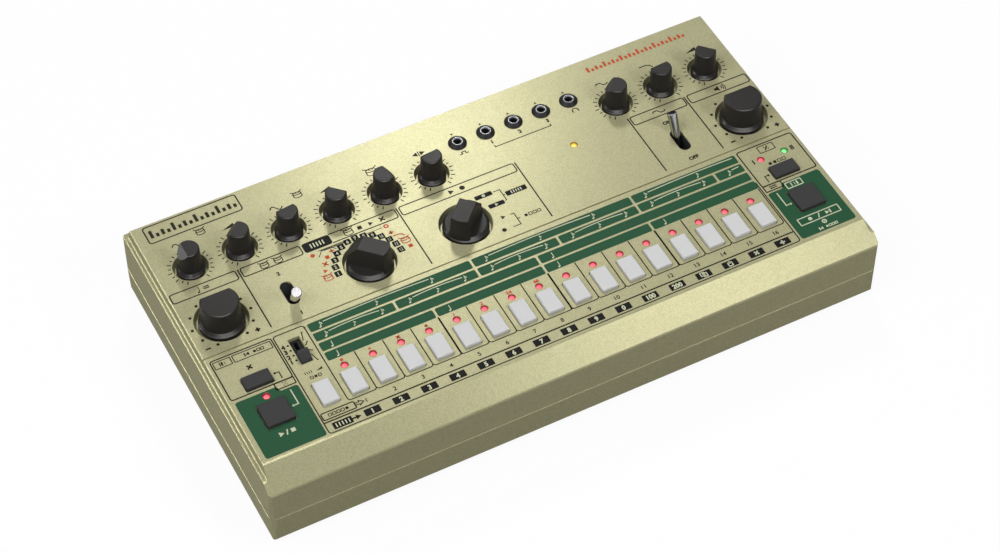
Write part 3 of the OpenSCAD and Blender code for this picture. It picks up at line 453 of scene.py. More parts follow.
def soften(node, width):
    """Rounds the sharp edges of a solid piece, once its flat faces are whole."""
    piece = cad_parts[node]
    flat = piece.modifiers.new("merge_flats", "DECIMATE")
    flat.decimate_type = "DISSOLVE"
    flat.angle_limit = math.radians(FLAT)
    edge = piece.modifiers.new("broken_edges", "BEVEL")
    edge.width = width
    edge.segments = 3
    edge.limit_method = "ANGLE"
    edge.angle_limit = math.radians(SHARP)
    edge.harden_normals = False
    edge.use_clamp_overlap = True


# ---- Ink on the panel ----

# Rows of the print, in millimetres from the middle of the case
TITLE_FRONT = 68.4
SIGN_ROW = 59.2
LABEL_FRONT, LABEL_ROW, LABEL_BACK = 28.4, 31.1, 33.8
SCALE_END = -1.75
CELL_BACK, CELL_FRONT = -32.3, -55.6
NUMBER_ROW = -58.8
BOX_FRONT, BOX_ROW, BOX_BACK = -67.05, -65.2, -63.3
# Nominal widths of lines, and the radius of the cells' corners
THIN, FINE, LINE, RULE = 0.26, 0.3, 0.34, 0.36
CORNER = 1.4
# Radii of the scales: ticks of the small knobs, dots of the large ones, numbered boxes
TICK_START, LONG_TICK, SHORT_TICK = 8.8, 10.75, 10.15
DOT_RING, BOX_RING = 14, 15.6
# Turns in degrees: a knob's to each side, from tick to tick, dot to dot and box to box
KNOB_TURN, TICK_TURN, DOT_TURN, BOX_TURN = 150, 15, 30, 15
# Height of a numeral as a share of the font's size, and the sharpest mitre of a line
NUMERAL_SHARE = 0.72
MITRE_LIMIT = 0.35


def heading(turn):
    """Direction at a clockwise turn in degrees from straight back."""
    angle = math.radians(90 - turn)
    return Vector((math.cos(angle), math.sin(angle)))


def arc(x, y, radius, start, end, count=10, squash=1.0):
    """Points of an arc. Angles are in degrees, anticlockwise from the right."""
    turns = [math.radians(start + (end - start) * i / count) for i in range(count + 1)]
    return [(x + radius * math.cos(t), y + squash * radius * math.sin(t)) for t in turns]


def corner(x, y, start):
    """Points of a cell's corner, a quarter turn around x, y."""
    return arc(x, y, CORNER, start, start + 90, 6)


def eased(corners, radius, count=6):
    """Outline through the corners, each of them rounded."""
    corners = [Vector(place) for place in corners]
    points = []
    for i, here in enumerate(corners):
        start = here + (corners[i - 1] - here).normalized() * radius
        end = here + (corners[(i + 1) % len(corners)] - here).normalized() * radius
        steps = [k / count for k in range(count + 1)] if radius else [0]
        points += [tuple(start.lerp(here, t).lerp(here.lerp(end, t), t)) for t in steps]
    return points


def rounded(left, front, right, back, radius):
    """Outline of a box whose corners are rounded."""
    return eased([(left, front), (right, front), (right, back), (left, back)], radius)


def around(x, y, half_x, half_y):
    """Sides of a box around its middle: left, front, right, back."""
    return x - half_x, y - half_y, x + half_x, y + half_y


class Print:
    """One layer of ink on the panel. Places are in millimetres from the middle of the case."""

    def __init__(self, name, tone):
        s = settings("drum_print")
        # Pale ink lies on black or green ink
        layer = 2 if tone == "pale" else 1
        self.name = name
        self.material = bpy.data.materials.get(f"{tone}_ink") or ink(tone)
        self.mesh = bmesh.new()
        self.z = PANEL_Z + layer * s.lift
        self.weight = s.weight
        self.words = []

    def vertex(self, point):
        return self.mesh.verts.new((point[0] * MM, point[1] * MM, self.z))

    def area(self, outline, *holes):
        """Fills an outline around its holes."""
        if not holes:
            self.mesh.faces.new([self.vertex(p) for p in outline])
            return
        edges = []
        for loop in (outline, *holes):
            ring = [self.vertex(p) for p in loop]
            edges += [self.mesh.edges.new((a, b)) for a, b in zip(ring, ring[1:] + ring[:1])]
        bmesh.ops.triangle_fill(self.mesh, use_beauty=True, use_dissolve=False, edges=edges)

    def stroke(self, points, width, closed=False):
        """A line of even width with mitred bends."""
        half = self.weight * width / 2
        points = [Vector(p) for p in points]
        count = len(points)
        rails = []
        for i, here in enumerate(points):
            ways = []
            if i or closed:
                ways.append((here - points[i - 1]).normalized())
            if i < count - 1 or closed:
                ways.append((points[(i + 1) % count] - here).normalized())
            sides = [Vector((-w.y, w.x)) for w in ways]
            side = sum(sides, Vector((0, 0))).normalized()
            side *= half / max(MITRE_LIMIT, side.dot(sides[0]))
            rails.append((self.vertex(here + side), self.vertex(here - side)))
        for (a, b), (c, d) in zip(rails, rails[1:] + rails[:1] if closed else rails[1:]):
            self.mesh.faces.new((a, b, d, c))

    def frame(self, left, front, right, back, radius, width):
        self.stroke(rounded(left, front, right, back, radius), width, closed=True)

    def box(self, left, front, right, back, radius=0.4):
        self.area(rounded(left, front, right, back, radius))

    def dot(self, x, y, radius, count=20):
        self.area(arc(x, y, radius, 0, 360 - 360 / count, count - 1))

    def ring(self, x, y, radius, width, squash=1.0):
        self.stroke(arc(x, y, radius, 0, 345, 23, squash), width, closed=True)

    def word(self, text, x, y, height, bold, squeeze=1.0):
        """A plain number or sign, centred at x, y."""
        self.words.append((text, x, y, height, bold, squeeze))

    def place_words(self):
        holders = []
        for text, x, y, height, bold, squeeze in self.words:
            curve = bpy.data.curves.new("numeral", "FONT")
            curve.body = text
            curve.size = height * MM / NUMERAL_SHARE
            curve.offset = bold * height * MM
            curve.resolution_u = 3
            curve.align_x = "CENTER"
            holder = bpy.data.objects.new("numeral", curve)
            bpy.context.scene.collection.objects.link(holder)
            holders.append((holder, x, y - height / 2, squeeze))
        depsgraph = bpy.context.evaluated_depsgraph_get()
        for holder, x, y, squeeze in holders:
            letters = holder.evaluated_get(depsgraph).to_mesh().copy()
            letters.transform(
                Matrix.Translation((x * MM, y * MM, self.z)) @ Matrix.Diagonal((squeeze, 1, 1, 1))
            )
            self.mesh.from_mesh(letters)
            bpy.data.meshes.remove(letters)
            curve = holder.data
            bpy.data.objects.remove(holder)
            bpy.data.curves.remove(curve)

    def finish(self):
        """Turns the layer into a piece that faces up and rides on the case."""
        if self.words:
            self.place_words()
        data = bpy.data.meshes.new(self.name)
        self.mesh.normal_update()
        turned = [f for f in self.mesh.faces if f.normal.z < 0]
        bmesh.ops.reverse_faces(self.mesh, faces=turned)
        self.mesh.to_mesh(data)
        self.mesh.free()
        data.materials.append(self.material)
        piece = bpy.data.objects.new(self.name, data)
        bpy.context.scene.collection.objects.link(piece)
        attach(piece, CASE)


# Signs: small drawings that stand where a panel says what a control does


def spots(x, y, size, *places):
    """Points of a sign, each given from its middle as a share of its size."""
    return [(x + size * u, y + size * v) for u, v in places]


def note(p, x, y, size, tail=True):
    """A note: head, stem and, for a short one, its tail."""
    lean = 0.45
    head = []
    for i in range(14):
        turn = math.tau * i / 14
        u, v = 0.62 * math.cos(turn), 0.42 * math.sin(turn)
        head.append(
            (u * math.cos(lean) - v * math.sin(lean), u * math.sin(lean) + v * math.cos(lean))
        )
    p.area(spots(x, y, size, *head))
    p.stroke(spots(x, y, size, (0.55, 0.1), (0.55, 3.1)), 0.2 * size)
    if tail:
        bend = spots(x, y, size, (0.55, 3.1), (0.8, 2.45), (1.35, 1.95), (1.4, 1.3))
        p.stroke(bend, 0.26 * size)


def wave(p, x, y, size):
    """One turn of a wave."""
    swing(p, x, y, size, 1.0)


def cut_wave(p, x, y, size):
    """One turn of a wave whose tops are cut off."""
    swing(p, x, y, size, 0.62)


def swing(p, x, y, size, limit):
    points = []
    for i in range(25):
        t = i / 24
        rise = max(-limit, min(limit, math.sin(math.tau * t)))
        points.append((x + (t - 0.5) * 4.2 * size, y + rise * 0.95 * size))
    p.stroke(points, 0.32)


def wedge(p, x, y, size):
    """Rising wedge: a level."""
    p.area(spots(x, y, size, (-2.1, -0.8), (2.1, -0.8), (2.1, 0.8)))


def balance(p, x, y, size):
    """Two arrowheads that point away from a line between them."""
    for side in (-1, 1):
        head = spots(x, y, size, (side * 0.5, -0.9), (side * 2.3, 0), (side * 0.5, 0.9))
        p.area(head[::side])
    p.stroke(spots(x, y, size, (0, -1.1), (0, 1.1)), FINE)


def slope(p, x, y, size):
    """Level that falls away: a tone filter."""
    p.stroke(spots(x, y, size, (-2.2, 0.7), (0.2, 0.7), (1.3, 0.3), (2.2, -0.9)), LINE)


def drum(p, x, y, size):
    """A drum with two sticks over it."""
    head, foot, half, squash = 0.7, -0.8, 1.7, 0.42
    p.ring(x, y + head * size, half * size, THIN, squash)
    left = spots(x, y, size, (-half, head), (-half, foot))
    right = spots(x, y, size, (half, foot), (half, head))
    bottom = arc(x, y + foot * size, half * size, 190, 350, 12, squash)
    p.stroke([*left, *bottom, *right], THIN)
    for stick in (((-2.4, 2.0), (0.1, 0.8)), ((2.4, 2.0), (0.5, 0.9))):
        p.stroke(spots(x, y, size, *stick), THIN)


def speaker(p, x, y, size):
    """A loudspeaker with three waves before it."""
    back = [(-0.3, 1.3), (-1.4, 0.55), (-2.2, 0.55)]
    front = [(u, -v) for u, v in back[::-1]]
    p.area(spots(x, y, size, *front, *back))
    for reach in (0.8, 1.5, 2.2):
        p.stroke(arc(x, y, reach * size, -42, 42, 8), THIN)


def play(p, x, y, size):
    p.area(spots(x, y, size, (-0.8, -1), (1.0, 0), (-0.8, 1)))


def stop(p, x, y, size):
    p.box(*around(x, y, 0.85 * size, 0.85 * size), 0.1)


def cross(p, x, y, size, width=0.4):
    p.stroke(spots(x, y, size, (-1, -1), (1, 1)), width)
    p.stroke(spots(x, y, size, (-1, 1), (1, -1)), width)


def plus(p, x, y, size, width=0.4):
    p.stroke(spots(x, y, size, (-1, 0), (1, 0)), width)
    p.stroke(spots(x, y, size, (0, -1), (0, 1)), width)


def slash(p, x, y, half_x, half_y, width):
    p.stroke([(x - half_x, y - half_y), (x + half_x, y + half_y)], width)


def upright(p, x, start, end, width):
    p.stroke([(x, start), (x, end)], width)


def bars(p, x, y, count, pitch, height, width):
    """A row of upright bars, one for each beat."""
    for i in range(count):
        at = x + (i - (count - 1) / 2) * pitch
        p.box(*around(at, y, width / 2, height / 2), 0)


def beats(p, left, front, count, pitch, width, heights):
    """A row of bars whose heights repeat, where a title would stand."""
    for i in range(count):
        x = left + i * pitch
        p.box(x, front, x + width, front + heights[i % len(heights)], 0.2)


def squares(p, x, y, count, size, gap, filled=(0,)):
    """A row of small squares, some of them filled."""
    for i in range(count):
        sides = around(x + (i - (count - 1) / 2) * (size + gap), y, size / 2, size / 2)
        if i in filled:
            p.box(*sides, 0.1)
        else:
            p.frame(*sides, 0.1, 0.22)


def to_bar(p, x, y, size):
    """Back to the bar line."""
    p.stroke(spots(x, y, size, (-1.3, -1), (-1.3, 1)), LINE)
    p.area(spots(x, y, size, (-1.0, 0), (0.8, -1), (0.8, 1)))


def dice(p, x, y, size):
    """Five dots, as on a die: by chance."""
    for across, up in ((-1, -1), (1, 1), (0, 0), (-1, 1), (1, -1)):
        p.dot(x + across * 0.75 * size, y + up * 0.75 * size, 0.26 * size, 10)


def swap(p, x, y, size):
    """Two arrows that run opposite ways."""
    for turned in (-size, size):
        p.stroke(spots(x, y, turned, (-2.0, 0.55), (1.0, 0.55)), FINE)
        p.area(spots(x, y, turned, (0.9, 1.15), (0.9, -0.05), (2.1, 0.55)))


def headphones(p, x, y, size):
    p.stroke(arc(x, y - 0.4 * size, 1.3 * size, 0, 180, 12), FINE)
    for side in (-1, 1):
        p.box(*around(x + side * 1.3 * size, y - 0.65 * size, 0.32 * size, 0.55 * size), 0.1)


# ---- Operators ----


class DRUM_OT_paint_case(bpy.types.Operator):
    """Paint the two shells"""

    bl_idname = "drum.paint_case"
    bl_label = "Paint the Case"

    def execute(self, context):
        paint = case_paint()
        for shell in SHELLS:
            dress(shell, paint)
        dress("rubber_feet", rubber())
        return {"FINISHED"}


class DRUM_OT_finish_knobs(bpy.types.Operator):
    """Give the knobs and selectors their black plastic and soft edges"""

    bl_idname = "drum.finish_knobs"
    bl_label = "Finish the Knobs"

    def execute(self, context):
        s = settings("drum_plastic")
        plastic = moulded("knob_plastic", s.knob, s.knob_roughness, s.grain, gloss=s.knob_gloss)
        for node in KNOBS:
            dress(node, plastic)
            soften(node, s.edge)
        return {"FINISHED"}


class DRUM_OT_finish_buttons(bpy.types.Operator):
    """Give the buttons and the slide switches their plastics"""

    bl_idname = "drum.finish_buttons"
    bl_label = "Finish the Buttons"

    def execute(self, context):
        s = settings("drum_plastic")
        pale = moulded("button_plastic", s.button, 0.5, s.grain, 0.000004, 1.06, s.gloss)
        black = moulded("black_button_plastic", s.black_button, 0.5, s.grain, gloss=s.gloss)
        for node in WHITE_BUTTONS:
            dress(node, pale)
        for node in BLACK_BUTTONS + SLIDERS:
            dress(node, black)
        return {"FINISHED"}


class DRUM_OT_finish_toggles(bpy.types.Operator):
    """Chrome the two toggle levers"""

    bl_idname = "drum.finish_toggles"
    bl_label = "Finish the Toggles"

    def execute(self, context):
        bright, silver = srgb(224, 221, 225), srgb(180, 180, 184)
        front = polished("front_lever_chrome", bright, 0.06, 0.0009, 0.94, -TOGGLE_LEAN)
        # The back lever's streaks fall to three tenths of its silver: painted reflection bands,
        # the dark and bright stripes that its chrome mirrors, laid over drawn metal.
        back = polished("back_lever_chrome", silver, 0.12, 0.0007, 0.3, TOGGLE_LEAN)
        dress("variant_toggle", front)
        dress("drive_toggle", back)
        return {"FINISHED"}


class DRUM_OT_light_lamps(bpy.types.Operator):
    """Give the lamps their glowing lenses"""

    bl_idname = "drum.light_lamps"
    bl_label = "Light the Lamps"

    def execute(self, context):
        s = settings("drum_lamps")
        lamps = (("red_lamps", s.red), ("green_lamp", s.green), ("amber_lamp", s.amber))
        for node, tone in lamps:
            dress(node, lens(node.replace("lamps", "lamp") + "_lens", tone, s.glow))
        return {"FINISHED"}


class DRUM_OT_finish_sockets(bpy.types.Operator):
    """Finish the jacks, the rear sockets and the pieces inside the case"""

    bl_idname = "drum.finish_sockets"
    bl_label = "Finish the Sockets and Insides"

    def execute(self, context):
        dark = moulded("socket_plastic", srgb(36, 37, 37), 0.6, 0.0003, gloss=0.1)
        metal = polished("socket_metal", srgb(122, 122, 124), 0.34)
        finishes = {
            "rotary_switches": dark,
            "tact_switches": dark,
            "switch_bodies": dark,
            "midi_sockets": dark,
            "dc_inlet": dark,
            "output_socket": dark,
            "jack_sockets": metal,
            "usb_socket": metal,
            "potentiometers": metal,
            "jack_nuts": moulded("nut_black", srgb(24, 24, 23), 0.4, 0.0004, gloss=0.12),
            "circuit_boards": circuit_board(),
            "screws": polished("screw_steel", srgb(70, 70, 72), 0.35),
            "ribbon_cable": moulded("cable_grey", srgb(150, 152, 156), 0.6, 0.001),
        }
        for node, material in finishes.items():
            dress(node, material)
        return {"FINISHED"}


class DRUM_OT_print_scales(bpy.types.Operator):
    """Print the ticks, dots and signs around the knobs"""

    bl_idname = "drum.print_scales"
    bl_label = "Print the Knob Scales"

    def execute(self, context):
        p = Print("knob_scales", "dark")
        signs = (wave, wedge, wave, wedge, drum, balance, cut_wave, slope, wedge)
        for node, sign in zip(SMALL_KNOBS, signs):
            centre = Vector(middle(node))
            for turn in range(-KNOB_TURN, KNOB_TURN + 1, TICK_TURN):
                way = heading(turn)
                far = SHORT_TICK if turn % DOT_TURN else LONG_TICK
                p.stroke([centre + way * TICK_START, centre + way * far], FINE)
            sign(p, middle(node)[0], SIGN_ROW, 1.45)
        for node in LARGE_KNOBS:
            x, y = middle(node)
            for turn in range(-KNOB_TURN, KNOB_TURN + 1, DOT_TURN):
                way = heading(turn)
                p.dot(x + DOT_RING * way.x, y + DOT_RING * way.y, 0.75)
            p.stroke([(x - 13.0, SCALE_END), (x - 10.6, SCALE_END)], 0.5)
            plus(p, x + 11.8, SCALE_END, 1.2, 0.5)
        # Drums between the knobs of the first two pairs
        for node in ("small_knob_1", "small_knob_3"):
            drum(p, middle(node)[0] + 12.06, 62.2, 1.15)
        p.finish()
        return {"FINISHED"}


class DRUM_OT_print_sections(bpy.types.Operator):
    """Print the frames, dividers and signs of the upper panel"""

    bl_idname = "drum.print_sections"
    bl_label = "Print the Sections"

    def execute(self, context):
        p = Print("section_frames", "dark")
        p.frame(-143.7, 65.6, -98.1, 75.8, 1.5, RULE)
        labels = (
            (-148.2, -116.4),
            (-114.0, -84.9),
            (-35.1, 23.6),
            (85.5, 113.9),
            (116.2, 148.1),
        )
        for left, right in labels:
            p.frame(left, LABEL_FRONT, right, LABEL_BACK, 1.2, LINE)
        # The instrument selector's label, whose left end is a black tab
        end, radius = -38.5, 1.2
        back_corner = arc(end, LABEL_BACK - radius, radius, 90, 0, 6)
        front_corner = arc(end, LABEL_FRONT + radius, radius, 0, -90, 6)
        ends = (-70.3, LABEL_BACK), (-70.3, LABEL_FRONT)
        p.stroke([ends[0], *back_corner, *front_corner, ends[1]], LINE)
        for x in (-115.1, -36.3, 24.7, 84.4, 114.8):
            upright(p, x, LABEL_BACK, -3.4, RULE)
        # What each section does
        note(p, -SIDE_X - 2.6, 29.7, 1.05, tail=False)
        for dy in (-0.5, 0.5):
            y = LABEL_ROW + dy
            p.stroke([(-SIDE_X, y), (-SIDE_X + 2.8, y)], RULE)
        for side in (-1, 1):
            drum(p, -TOGGLE_X + side * 3.4, 30.6, 1.1)
        for i, sign in enumerate((drum, stop, play, cross)):
            sign(p, -61.5 + i * 5.6, 31.0, 1.2)
        play(p, -9.4, LABEL_ROW, 1.4)
        p.dot(-3.8, LABEL_ROW, 1.3)
        cut_wave(p, TOGGLE_X, LABEL_ROW, 1.5)
        speaker(p, SIDE_X, LABEL_ROW, 1.3)
        for x, back, front in ((-TOGGLE_X, "2", "1"), (TOGGLE_X, "ON", "OFF")):
            p.word(back, x, 23.2, 2.0, 0.08)
            p.word(front, x, SCALE_END, 2.0, 0.08)
        beats(p, -141.9, TITLE_FRONT, 16, 2.72, 1.5, (4.8, 2.2, 3.4, 2.2))
        tab = Print("section_tabs", "black")
        tab.box(-83.9, 28.2, -70.3, 34.0, 1.5)
        tab_sign = Print("section_tab_signs", "pale")
        bars(tab_sign, -77.1, LABEL_ROW, 5, 1.5, 2.6, 0.62)
        title = Print("title_row", "orange")
        beats(title, 82.58, TITLE_FRONT + 0.1, 24, 2.25, 1.24, (3.4, 1.8, 2.6, 1.8))
        for layer in (p, tab, tab_sign, title):
            layer.finish()
        return {"FINISHED"}


class DRUM_OT_print_selectors(bpy.types.Operator):
    """Print the numbers and signs around the two selectors and the jacks"""

    bl_idname = "drum.print_selectors"
    bl_label = "Print the Selector Scales"

    def execute(self, context):
        dark, black = Print("selector_lines", "dark"), Print("selector_boxes", "black")
        pale, orange = Print("selector_numbers", "pale"), Print("selector_signs", "orange")
        self.number_instruments(dark, black, pale, orange)
        self.mark_modes(dark, black, pale)
        self.mark_jacks(dark)
        for layer in (dark, black, pale, orange):
            layer.finish()
        return {"FINISHED"}

    def number_instruments(self, dark, black, pale, orange):
        """Boxes from 1 to 13, with a sign beside those at the two sides."""
        left_signs = (drum, play, cross, stop, plus)
        right_signs = (plus, slope, drum, stop)
        for i in range(13):
            way = heading(BOX_TURN * i - 90)
            x = INSTRUMENT_X + BOX_RING * way.x
            y = LARGE_ROW + BOX_RING * way.y
            black.box(*around(x, y, 1.6, 1.6), 0.35)
            pale.word(str(i + 1), x, y, 1.75, 0.03, 1.0 if i < 9 else 0.72)
            if i < 5:
                left_signs[i](orange, x - 4.8, y, 1.15)
            elif i > 8:
                right_signs[i - 9](orange, x + 4.8, y, 1.15)
        dark.stroke([(-79.6, 23.4), (-77.0, 26.4), (-72.4, 26.4), (-70.5, 24.6)], 0.2)
        for k in range(4):
            y = 27.0 - 0.35 * k
            dark.stroke([(-79.0 + k, y), (-66.5 + 1.6 * k, y)], 0.14)
        dark.stroke([(-57.5, 26.2), (-47.0, 26.2)], 0.2)
        orange.dot(-81.8, 25.6, 1.1)
        orange.ring(-44.9, 26.2, 0.9, RULE)

    def mark_modes(self, dark, black, pale):
        """Two pairs of signs, each pair joined by a bracket to what it leads to."""
        black.box(-1.8, 20.9, 6.9, 23.4, 0.5)
        black.box(1.6, 13.5, 9.6, 16.0, 0.5)
        black.box(12.3, 16.9, 22.7, 19.8, 0.5)
        pale.dot(2.55, 22.15, 0.85)
        play(pale, 5.6, 14.75, 0.85)
        bars(pale, 17.5, 18.35, 5, 1.2, 1.7, 0.5)
        dark.stroke([(7.4, 22.1), (10.9, 22.1), (10.9, 15.1), (10.1, 15.1)], THIN)
        dark.stroke([(10.9, 18.4), (11.9, 18.4)], THIN)
        play(dark, 4.7, 6.5, 1.15)
        dark.dot(1.6, -0.65, 1.1)
        dark.stroke([(8.3, 6.5), (10.0, 6.5), (10.0, -0.8), (6.2, -0.8)], THIN)
        dark.stroke([(10.0, 2.8), (11.4, 2.8)], THIN)
        squares(dark, 17.8, 2.8, 4, 1.5, 0.7)

    def mark_jacks(self, dark):
        """An arrow behind each jack, a sign in front, and a bracket for jacks 2 to 4."""
        arrow = 62.9
        for i in range(5):
            x = JACK_X0 + i * JACK_PITCH
            out = 1 if i else -1
            base, tip = arrow - 0.6 * out, arrow + 0.65 * out
            dark.area([(x - 0.75, base), (x + 0.75, base), (x, tip)][::out])
            if i == 0:
                pulse = ((-2.2, 0), (-0.9, 0), (-0.9, 1.3), (0.9, 1.3), (0.9, 0), (2.2, 0))
                dark.stroke(spots(x, 49.6, 1, *pulse), FINE)
            elif i == 4:
                headphones(dark, x, 50.3, 1.1)
            else:
                dark.word(str(i), x, 50.2, 2.1, 0.08)
        first, last = JACK_X0 + JACK_PITCH, JACK_X0 + 3 * JACK_PITCH
        dark.stroke([(first, 47.8), (first, 46.6), (last, 46.6), (last, 47.8)], FINE)


class DRUM_OT_print_beat_bars(bpy.types.Operator):
    """Print the four green rows with their notes"""

    bl_idname = "drum.print_beat_bars"
    bl_label = "Print the Beat Bars"

    def execute(self, context):
        green, pale = Print("beat_bars", "green"), Print("beat_notes", "pale")
        left, right, gap = step(0.5) + 1.5, step(STEPS + 0.5) + 0.6, 0.55
        # Front and back of each row, and the steps after which it is broken
        rows = (
            (-14.2, -9.2, (6.5, 12.5)),
            (-20.1, -15.2, (3.5, 6.5, 9.5, 12.5, 15.5)),
            (-26.2, -21.2, (8.5,)),
            (-32.1, -27.2, (4.5, 8.5, 12.5)),
        )
        for front, back, breaks in rows:
            ends = [left] + [step(b) for b in breaks] + [right]
            for a, b in zip(ends, ends[1:]):
                start = a + (gap if a != left else 0)
                end = b - (gap if b != right else 0)
                green.box(start, front, end, back, 0.9)
        # Three notes under a bow: every second step in the first row, every step in the second
        for (front, back, _), spread in zip(rows, (2, 1)):
            for first in range(1, STEPS + 1, 3 * spread):
                self.bow(pale, first, spread, front, back, right)
        # Single notes on the beats of the other two rows
        for (front, _, _), beats_of_row in zip(rows[2:], ((1, 9), (1, 5, 9, 13))):
            for at in beats_of_row:
                note(pale, step(at) - 0.2, front + 0.95, 0.95, tail=False)
        green.finish()
        pale.finish()
        return {"FINISHED"}

    def bow(self, pale, first, spread, front, back, right):
        """Three notes spread steps apart with a bow over them, cut off at the row's end."""
        last = first + 2 * spread
        for k in range(3):
            at = first + spread * k
            if at <= STEPS:
                rise, size = (0.9, 0.78) if k == 1 else (1.1, 0.95)
                note(pale, step(at) - 0.3, front + rise, size)
        start, whole_end = step(first) + 1.9, step(last) - 0.8
        end = whole_end if last <= STEPS else right - 1.6
        centre = (start + whole_end) / 2
        points = []
        for j in range(17):
            x = start + (end - start) * j / 16
            sag = ((x - centre) / (centre - start)) ** 2
            points.append((x, back - 1.55 + 0.6 * (1 - sag)))
        pale.stroke(points, THIN)


class DRUM_OT_print_steps(bpy.types.Operator):
    """Print the cells, numbers and boxes around the step buttons"""

    bl_idname = "drum.print_steps"
    bl_label = "Print the Step Cells"

    def execute(self, context):
        dark, black = Print("step_cells", "dark"), Print("step_boxes", "black")
        pale, orange = Print("step_box_numbers", "pale"), Print("step_marks", "orange")
        self.draw_cells(dark, black)
        self.fill_boxes(pale)
        for i, sign in enumerate((stop, play, cross, plus)):
            sign(orange, step(1 + i), -34.0, 0.8)
        for i, text in enumerate(("1", "2", "24", "48")):
            orange.word(text, step(5 + i), -34.0, 1.7, 0.06, 1.2)
        self.frame_cells(dark)
        self.mark_slide(dark)
        self.mark_last_step(dark, black, pale)
        for layer in (dark, black, pale, orange):
            layer.finish()
        return {"FINISHED"}

    def draw_cells(self, dark, black):
        """A cell, a number and a black box for each step, and thick lines between bars."""
        front = CELL_FRONT + CORNER
        for i in range(1, STEPS + 1):
            x = step(i)
            left, right = x - STEP_PITCH / 2, x + STEP_PITCH / 2
            left_corner = corner(left + CORNER, front, 180)
            right_corner = corner(right - CORNER, front, 270)
            ends = (left, CELL_BACK), (right, CELL_BACK)
            dark.stroke([ends[0], *left_corner, *right_corner, ends[1]], FINE)
            dark.word(str(i), x, NUMBER_ROW, 2.25, 0.03)
            black.box(x - 3.75, BOX_FRONT, x + 3.75, BOX_BACK, 0.35)
        for b in (4.5, 8.5, 12.5):
            black.box(step(b) - 0.42, CELL_FRONT, step(b) + 0.42, CELL_BACK, 0)

    def fill_boxes(self, pale):
        """Numbers in the first twelve boxes, then signs to copy, paste, take out and put in."""
        texts = ("1", "2", "3", "4", "5", "6", "7", "8", "9", "0", "100", "200")
        for i, text in enumerate(texts):
            pale.word(text, step(i + 1), BOX_ROW, 2.4, 0.06, 0.95)
        x = step(13)
        pale.frame(x - 1.5, -65.9, x + 0.4, -63.9, 0.1, THIN)
        pale.frame(x - 0.4, -66.5, x + 1.5, -64.5, 0.1, THIN)
        x = step(14)
        pale.frame(x - 1.0, -66.4, x + 1.0, -64.4, 0.1, FINE)
        upright(pale, x, -63.8, BOX_ROW, FINE)
        cross(pale, step(15), BOX_ROW, 0.95, 0.42)
        plus(pale, step(16), BOX_ROW, 1.2, 0.42)

    def frame_cells(self, dark):
        """A frame around the slide switch, the cells and the row of boxes."""
        left, right = -117.2 + CORNER, 116.9 - CORNER
        front, back = -66.7, -10.3
        dark.stroke(
            [
                (step(0.5), CELL_BACK),
                (step(0.5), back),
                *corner(step(0.5) - CORNER, back, 0),
                *corner(left, back, 90),
                *corner(left, front, 180),
                *corner(right, front, 270),
                (right + CORNER, -28.5),
            ],
            0.32,
        )
        dark.stroke([(left - CORNER, -62.0), (right + CORNER, -62.0)], 0.4)

    def mark_slide(self, dark):
        """Numbers, dots and curves beside the slide switch, and signs in front of it."""
        places = ((-25.3, -3.8), (-22.4, -0.8), (-19.3, 1.4), (-16.3, 4.2))
        for i, (y, bend) in enumerate(places):
            dark.word(str(i + 1), SLIDE_X - 6.2, y, 2.3, 0.08)
            dark.dot(SLIDE_X - 3.9, y, 0.55)
            curve = spots(SLIDE_X, y, 1, (3.0, 0), (3.5, 0), (4.5, bend), (5.1, bend))
            dark.stroke(curve, 0.28)
        bars(dark, SLIDE_X - 2.2, -33.9, 4, 1.0, 1.5, RULE)
        wedge(dark, SLIDE_X + 2.8, -33.9, 0.8)
        squares(dark, SLIDE_X, -37.0, 3, 1.3, 0.6, (1,))

    def mark_last_step(self, dark, black, pale):
        """A box with an arrow towards step 1, and a black arrow towards the row of boxes."""
        end = -101.0
        dark.frame(-116.5, -60.7, end, -56.9, 0.8, LINE)
        squares(dark, -108.8, NUMBER_ROW, 5, 1.4, 0.6, (4,))
        back = [(0, 0.6), (2.1, 0.6), (2.1, 1.25), (4.1, 0)]
        front = [(u, -v) for u, v in back[2::-1]]
        dark.stroke(spots(end, NUMBER_ROW, 1, *back, *front), 0.28)
        black.box(-114.3, BOX_FRONT, -105.2, BOX_BACK, 0.35)
        bars(pale, -109.7, BOX_ROW, 5, 1.5, 2.2, 0.5)
        black.box(-105.4, BOX_ROW - 0.4, -103.0, BOX_ROW + 0.4, 0)
        black.area([(-103.4, BOX_ROW - 1.3), (-100.9, BOX_ROW), (-103.4, BOX_ROW + 1.3)])


